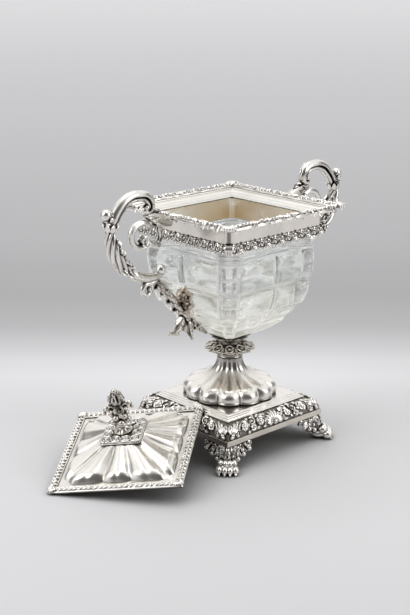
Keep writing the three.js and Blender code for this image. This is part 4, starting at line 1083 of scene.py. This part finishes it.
# The bracket is a leafy tongue screwed under the rim; it carries the volute.
tongue = bmesh.new()
outline = [(-0.6, -4.4), (-0.2, -3.2), (0.4, -2.2), (2.4, -1.3), (3.4, 0.6), (6.4, 3.4),
           (12.0, 5.8), (18.6, 7.4), (25.4, 7.2), (27.0, 5.2), (22.6, 1.4), (16.0, -2.2),
           (8.4, -5.2), (1.4, -6.0)]
face = tongue.faces.new([tongue.verts.new((rim_half + x, -3.2, rim_top + z)) for x, z in outline])
grown = bmesh.ops.extrude_face_region(tongue, geom=[face])["geom"]
bmesh.ops.translate(tongue, vec=(0, 6.4, 0),
                    verts=[v for v in grown if isinstance(v, bmesh.types.BMVert)])
bmesh.ops.recalc_face_normals(tongue, faces=tongue.faces)
bmesh.ops.bevel(tongue, geom=[e for e in tongue.edges if e.calc_face_angle(0) > 0.6], offset=0.6,
                segments=2, affect="EDGES", profile=0.5, material=-1, clamp_overlap=True)
tongue_leaves = [((26, 5.4), (22, 4.8), (17.4, 6.6), 2.4), ((22, 3.2), (18, 1.4), (13.4, 3.4), 2.3),
                 ((17, 0.2), (13.8, -3.4), (10.6, -2.8), 2.4),
                 ((14, -3.4), (11.4, -7.2), (8.6, -6.8), 2.0)]
for flip in (-1, 1):
    for base, bend, tip, width in tongue_leaves:
        a, b, c = from_rim([base, bend, tip])
        leaf(tongue, [a + aside * flip * 2.6, b + aside * flip * 3.8, c + aside * flip * 3.9],
             width, aside * flip, thick=1.0, cup=-0.2, rib=0.9, notches=3, around=12, along=12)
for places, width in (([(16, 4.0), (13.4, 6.4), (10.2, 5.8), (8.0, 2.4)], 2.6),
                      ([(20, 6.2), (16, 9.2), (12.4, 8.8), (10.4, 5.8)], 2.8)):
    leaf(tongue, from_rim(places), width, (0.2, 0, 1), thick=1.2, cup=-0.2, rib=0.9, notches=3,
         around=12, along=12)

drop = bmesh.new()
drop_line = from_rim([(13.6, -48.4), (20.4, -50.4), (26.6, -50.6), (30.2, -54.4), (28.8, -58.8),
                      (25.2, -60.2), (22.2, -58.2), (23.2, -55.4)])
tendril(drop, drop_line, 2.8, face=aside, taper=0.7, around=12, along=32, groove=0.2)
bead(drop, drop_line[-1], 2.3, 10, 8)
leaf(drop, from_rim([(28.4, -50.4), (24.6, -52.0), (21.4, -55.6)]), 1.7, aside, thick=1.0,
     along=8)

# The strap is a leafy branch that runs from the scroll's foot down the glass.
strap_line = [Vector((x, 0, 96 + z)) for x, z in ((82.2, 62.8), (75.4, 55.6), (69.8, 48.6),
                                                  (64.2, 41.6), (58.8, 34.6), (53.4, 28.6),
                                                  (47.6, 23.6), (42.4, 18.4), (38.0, 13.8),
                                                  (32.5, 9.2), (27.6, 5.6))]
branch = bmesh.new()
tendril(branch, strap_line, 2, face=aside, around=20, along=36, flat=1.5, ridges=4, twist=1.2,
        depth=0.4, swell=lambda t: 2.7 - 0.8 * t)
# its leaves stand in pairs: where each of the two starts, how far they reach and how far they rise
strap_leaves = [(0.02, 0.02, 8.0, 2.4), (0.10, 0.12, 8.4, 1.8), (0.22, 0.24, 9.0, 1.6),
                (0.34, 0.36, 8.6, 1.6), (0.46, 0.48, 8.2, 1.4), (0.60, 0.62, 7.4, 1.2),
                (0.74, 0.76, 6.6, 1.0)]
for share, lean, reach, rise in [(pair[k], 1 - 2 * k, *pair[2:]) for pair in strap_leaves
                                 for k in (0, 1)]:
    here, going, out = outer_side(strap_line, share)
    tip = here + going * reach * 0.6 + aside * lean * reach * 0.75 + out * rise * 2.5
    bend = here + going * reach * 0.5 + aside * lean * reach * 0.55 + out * rise * 1.5
    leaf(branch, [here + out * 0.8, bend, tip], 3.8, out, thick=1.6, cup=-0.25, rib=1.5,
         notches=3, around=12, along=12, tip=0.9)
    bead(branch, tip, 1.5, 8, 6)
for share in (0.06, 0.17, 0.30, 0.42):
    here, going, out = outer_side(strap_line, share)
    bead(branch, here + out * 3.0, (2.0, 2.3, 2.0), 10, 8)

# An open flower lies on the glass behind the strap, and three long leaves hang below it.
bloom = bmesh.new()
flower_mid = Vector((54.6, 3.4, 137.0))
for ring_no, (petals, reach, lift) in enumerate(((7, 1.0, 0.4), (6, 0.62, 1.8))):
    for k in range(petals):
        angle = 2 * math.pi * (k + 0.5 * ring_no) / petals + math.pi / 2
        out = Vector((0, math.cos(angle) * 11.5, math.sin(angle) * 12.5)) * reach
        petal = [flower_mid + out * share + Vector((lift + bulge, 0, 0))
                 for share, bulge in ((0.15, 0), (0.62, 1.5), (1, 0))]
        leaf(bloom, petal, 5.4 * reach, (1, 0, 0), thick=1.1, cup=0.15, rib=1.3, notches=3,
             around=12, tip=1.1)
bead(bloom, flower_mid + Vector((2.4, 0, 0)), (1.4, 2.4, 2.4), 12, 8)

spray = bmesh.new()
root = strap_line[5]
for aims, width, lean in ((((0.8, -2.4), (4, -9), (10, -15.2), (17.0, -14.4)), 6.0, 0.0),
                          (((0.4, -2.6), (-0.6, -10), (-1.6, -15), (-2.0, -21.0)), 7.4, 0.34),
                          (((0.0, -2.8), (-3.4, -10.2), (-6, -15), (-8.8, -20.2)), 7.2, -0.34),
                          (((0.6, -2.4), (3.4, -8), (4.4, -12), (6.2, -17.6)), 6.2, -0.12)):
    path = [root + Vector((x, -lean * z, z)) for x, z in aims]
    bead(spray, path[3], (1.7, 1.7, 1.5), 10, 8)
    leaf(spray, path, width, (0.9, 0, 0.4), thick=2.0, rib=1.3, notches=4, around=12,
         along=14, tip=0.6, ruffle=0.4)
    tendril(spray, path[:3], 0.7, face=aside, along=8)

# the flower is painted dark brown: painted shade and reflection, as it lies shadowed on the glass
painted_shade_casting = silver("painted_shade_casting", 0.24, 3.0, 1.0, tint=(0.70, 0.60, 0.50, 1),
                           sulphide_and_shade=(0.05, 0.032, 0.022, 1))
deep_casting = silver("deep_casting", 0.15, 5.0, 1.0, tint=(0.90, 0.87, 0.825, 1))
for part, bed, finish in (
        ("scroll", grip, deep_casting), ("thumb_ball", ball, deep_casting),
        ("inner_curl", coil, deep_casting), ("rim_bracket", tongue, dark_casting),
        ("lower_scroll", drop, deep_casting), ("strap", branch, dark_casting),
        ("flower", bloom, painted_shade_casting), ("leaf_spray", spray, dark_casting)):
    for side, turn in zip(("right", "left"), turns(2)):
        deliver(repeat(bed.copy(), [turn]), f"{side}_{part}", [finish], [f"{side}_handle_{part}"])
    bed.free()

# ---------------------------------------------------------------- lid
# The lid is one raised sheet: twelve double lobes swell from a small crown, inside a plain
# flange. It is drawn flat, then laid against the stand where it rests.
raised_corner, lid_diagonal = Vector((-42.48, -12.7, 41.1)), 158.11
lean = math.asin(raised_corner.z / lid_diagonal)
tumble = (Matrix.Rotation(math.radians(-8.1), 4, "Z") @ Matrix.Rotation(-lean, 4, "Y")
          @ Matrix.Rotation(math.radians(3.7), 4, "X") @ Matrix.Rotation(math.radians(-45), 4, "Z"))
# half sides of the flange and of the raised panel, radius of the crown and height of the sheet
lid_half, panel_half, crown, lid_rise = 55.9, 46.5, 15.2, 17.0
lid_lobes, lobe_relief, sheet_thick = 12, 3.8, 1.0
lid_corner = tumble @ Vector((lid_half, lid_half, 0))
seats["lid"] = seats["stand"] @ Matrix.Translation((raised_corner - lid_corner) * mm) @ tumble


def square_side(angle, half):
    """Distance from the middle to a square's side, at one angle."""
    return half / max(abs(math.cos(angle)), abs(math.sin(angle)))


def read_off(outline, share):
    """Height of an outline, given as pairs of a share of the way and a height."""
    for (x0, h0), (x1, h1) in zip(outline, outline[1:]):
        if share <= x1:
            return h0 + (h1 - h0) * (share - x0) / (x1 - x0)
    return outline[-1][1]


def within_lobe(angle):
    """How full the lobe is at an angle round the lid: 0 in a valley, 1 on top."""
    place = ((angle - math.pi / 4) * lid_lobes / (2 * math.pi)) % 1
    return math.sin(math.pi * place) ** 0.6 - 0.12 * math.exp(-((place - 0.5) / 0.10) ** 2)


dome_outline = [(0, 0), (0.03, 0.12), (0.12, 0.23), (0.4, 0.41), (0.7, 0.69), (0.9, 0.93), (1, 1)]
relief_outline = [(0, 0), (0.03, 0.5), (0.12, 1.05), (0.4, 1.1), (0.7, 0.85), (0.9, 0.4), (1, 0)]


def lobe_height(share, angle):
    """The raised sheet above the flange: share runs from the panel's edge (0) to the crown (1)."""
    dome, relief = (read_off(outline, share) for outline in (dome_outline, relief_outline))
    return sheet_thick + dome * (lid_rise - sheet_thick) \
        + lobe_relief * relief * (within_lobe(angle) - 0.12)


# The grid runs from the edge over the top to the crown, and back underneath.
bed = bmesh.new()
flange_halves = (lid_half, lid_half - 0.3, lid_half - 3, panel_half + 1.0)
lid_steps, lid_around = 28, 240
top_rows = lid_steps + len(flange_halves)
all_rows = 2 * top_rows + 1
sheet = bmesh.ops.create_grid(bed, x_segments=lid_around, y_segments=all_rows, size=1)["verts"]
for point in sheet:
    i = round((point.co.x + 1) / 2 * lid_around) % lid_around
    j = round((point.co.y + 1) / 2 * all_rows)
    angle = 2 * math.pi * (i + 0.5) / lid_around + math.pi / 4
    under = j > top_rows
    row = all_rows - j if under else j
    if row < len(flange_halves):
        reach, height = square_side(angle, flange_halves[row]), sheet_thick
    else:
        share = (row - len(flange_halves)) / lid_steps
        scallop = 2.6 * (1 - max(0, within_lobe(angle)))
        outer = min(square_side(angle, panel_half), panel_half * 1.3) - scallop * (1 - share)
        reach, height = outer + (crown - outer) * share ** 0.9, lobe_height(share, angle)
    if row == 0:
        height = sheet_thick / 2
    point.co = toward(angle) * reach
    point.co.z = max(0.0, height - (sheet_thick if under else 0))
bmesh.ops.remove_doubles(bed, verts=bed.verts, dist=0.001)
bmesh.ops.holes_fill(bed, edges=[e for e in bed.edges if e.is_boundary])
deliver(bed, "lobed_lid", [chased_silver], ["lid_cover"], body="lid", crease=50)

# Cast border of leaves soldered round the lid's flange.
leaf_edge = bmesh.new()
for k in range(-12, 13):
    x = k * 4.2
    for y, aim in ((-54.0, 0.9), (-51.2, -0.9), (-52.6, 2.3)):
        turn = aim + rough.uniform(-0.4, 0.4) + (math.pi if k % 2 else 0)
        out = toward(turn)
        base = Vector((x, y, 1.7)) - out * 1.9
        leaf(leaf_edge, [base, base + out * 2.0 + up, base + out * 4.0], 1.15, up,
             cup=-0.2, rib=0.8, around=8, along=7)
    bead(leaf_edge, (x + 2.1, -52.6, 2.2), (1.0, 1.0, 0.8), 8, 5)
for half, thick in ((55.5, 0.55), (49.6, 0.5)):
    tendril(leaf_edge, [(x, -half, 1.7) for x in range(-55, 56, 10)], thick, taper=1.0,
            along=30)
slab = bmesh.ops.create_grid(leaf_edge, x_segments=30, y_segments=1, size=1)["verts"]
bmesh.ops.scale(leaf_edge, vec=(52.6, 2.9, 1), verts=slab)
bmesh.ops.translate(leaf_edge, vec=(0, -52.6, 1.5), verts=slab)
plate = {f for v in slab for f in v.link_faces}
grown = bmesh.ops.extrude_face_region(leaf_edge, geom=list(plate))["geom"]
bmesh.ops.translate(leaf_edge, vec=(0, 0, 0.35),
                    verts=[v for v in grown if isinstance(v, bmesh.types.BMVert)])
shell(leaf_edge, Vector((51.2, -51.2, 1.8)), outward, 6.4)
deliver(repeat(leaf_edge, quarter_turns), "lid_leaf_border", [bright_casting], ["lid_border"],
        body="lid")

# A square of sheet under the flange drops into the mouth and keeps the lid in place.
dress("lid_bezel", rolled_silver, 0.2)

# ---------------------------------------------------------------- plate under the finial
# A cast square plate covers the crown of the lid: ringed rosettes on its corners and sides, a
# leaf between them and two wires along each edge. The finial's foot clamps it down.
bed = bmesh.new()
plate_half, plate_foot = 16.8, 17.3
slab = bmesh.ops.create_cube(bed, size=1)["verts"]
bmesh.ops.scale(bed, vec=(2 * plate_half - 1.6, 2 * plate_half - 1.6, 1.5), verts=slab)
bmesh.ops.translate(bed, vec=up * (plate_foot + 0.95), verts=slab)
bmesh.ops.bevel(bed, geom=bed.edges[:], offset=0.5, segments=2, affect="EDGES", profile=0.5,
                material=-1)
# the plate is painted dark between the rosettes: painted shade
for face in bed.faces:
    face.material_index = 1
unit = bmesh.new()
for half, rise in ((16.6, 0.5), (15.9, 1.5)):
    tendril(unit, [(x * half / 15, -half, plate_foot + rise) for x in (-15, -7.5, 0, 7.5, 15)],
            0.62, taper=1.0, around=8, along=16)
for x, y, size in ((12.4, -12.4, 4.3), (-4.1, -12.4, 4.1), (4.1, -12.4, 4.1)):
    for reach, thick in ((0.92, 0.85), (0.46, 0.7)):
        loop = [(x + size * reach * cos, y + size * reach * sin, plate_foot + 2.2)
                for cos, sin in circle(13)]
        tendril(unit, loop, thick, taper=1.0, along=24)
    bead(unit, (x, y, plate_foot + 2.2), (size * 0.22,) * 2 + (0.7,), 8, 5)
leaf(unit, [(0, -3.4, plate_foot + 2.4), (0, -5.6, plate_foot + 3.0), (0, -7.6, plate_foot + 2.0)],
     2.2, (0, 0, 1), cup=-0.2, rib=0.8, along=8)
repeat(unit, quarter_turns, bed)
deliver(bed, "rosette_plate", [bright_casting, dark_ground_painted_shade], ["lid_rosette_plate"], body="lid")

# ---------------------------------------------------------------- finial
# Three castings threaded on one rod: a dark turned foot with eight leaves, a whorl of beads
# and curled leaves, and a closed bud. A nut inside the lid holds the rod.
bed = spun([(2.3, 0), (7.4, 0), (7.6, 0.06), (6.4, 0.14), (4.2, 0.3), (3.6, 0.5), (4.4, 0.7),
            (4.2, 0.86), (3.2, 1), (2.3, 1)], 20.0, 7.8, 32)
frond = bmesh.new()
leaf(frond, [(2.8, 0, 26.0), (4.4, 0, 23.4), (6.8, 0, 21.0), (8.6, 0, 20.6)], 1.9,
     (0.7, 0, 0.7), thick=0.6, cup=-0.2, rib=0.8, along=8)
repeat(frond, turns(8), bed)
deliver(bed, "finial_turned_foot", [dark_casting], ["finial_foot"], body="lid")

bed = spun([(2.3, 0), (3.6, 0), (4.6, 0.1), (4.0, 0.3), (4.8, 0.5), (5.4, 0.62), (4.4, 0.8),
            (3.2, 1), (2.3, 1)], 28.2, 21.0, 32)
for radius, height, size, start in ((6.4, 30.8, (2.9, 2.9, 2.6), 0.0),
                                    (6.0, 35.2, (2.7, 2.7, 2.5), 0.6)):
    for k in range(5):
        bead(bed, toward(2 * math.pi * k / 5 + start) * radius + up * height, size, 10, 7)
for count, foot_z, reach, rise, start in ((4, 37.6, 11.4, 6.0, 0.4), (5, 40.6, 8.4, 5.4, 0.0)):
    frond = bmesh.new()
    tip = Vector((reach, 0, foot_z + rise * 0.4))
    leaf(frond, [(2.6, 0, foot_z + 1), (reach * 0.6, 0, foot_z + rise * 0.8),
                 (reach * 0.94, 0, foot_z + rise), tip], 3.8,
         (-0.6, 0, 0.8), thick=1.0, rib=1.1, notches=3, around=12, along=12, tip=0.8)
    bead(frond, tip, 1.7, 10, 7)
    repeat(frond, turns(count, start), bed)
deliver(bed, "finial_whorl", [dark_casting], ["finial_leaves"], body="lid")

bed = bmesh.new()
bead(bed, (0, 0, 52.6), (3.6, 3.6, 4.6), 16, 10)
bead(bed, (0, 0, 57.4), (2.4, 2.4, 2.6), 14, 10)
frond = bmesh.new()
leaf(frond, [(1.6, 0, 57.0), (4.4, 0, 54.8), (6.0, 0, 51.0), (7.2, 0, 49.0)], 3.0,
     (1, 0, 0.5), thick=1.4, cup=-0.2, rib=1.6, notches=3, around=12, along=12, tip=0.8)
repeat(frond, turns(6), bed)
deliver(bed, "finial_closed_bud", [dark_casting], ["finial_bud"], body="lid")

# Solids that no piece above has dressed are plain rolled silver.
for name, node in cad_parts.items():
    if not node.hide_render and not node.modifiers:
        dress(name, rolled_silver, 0.0)
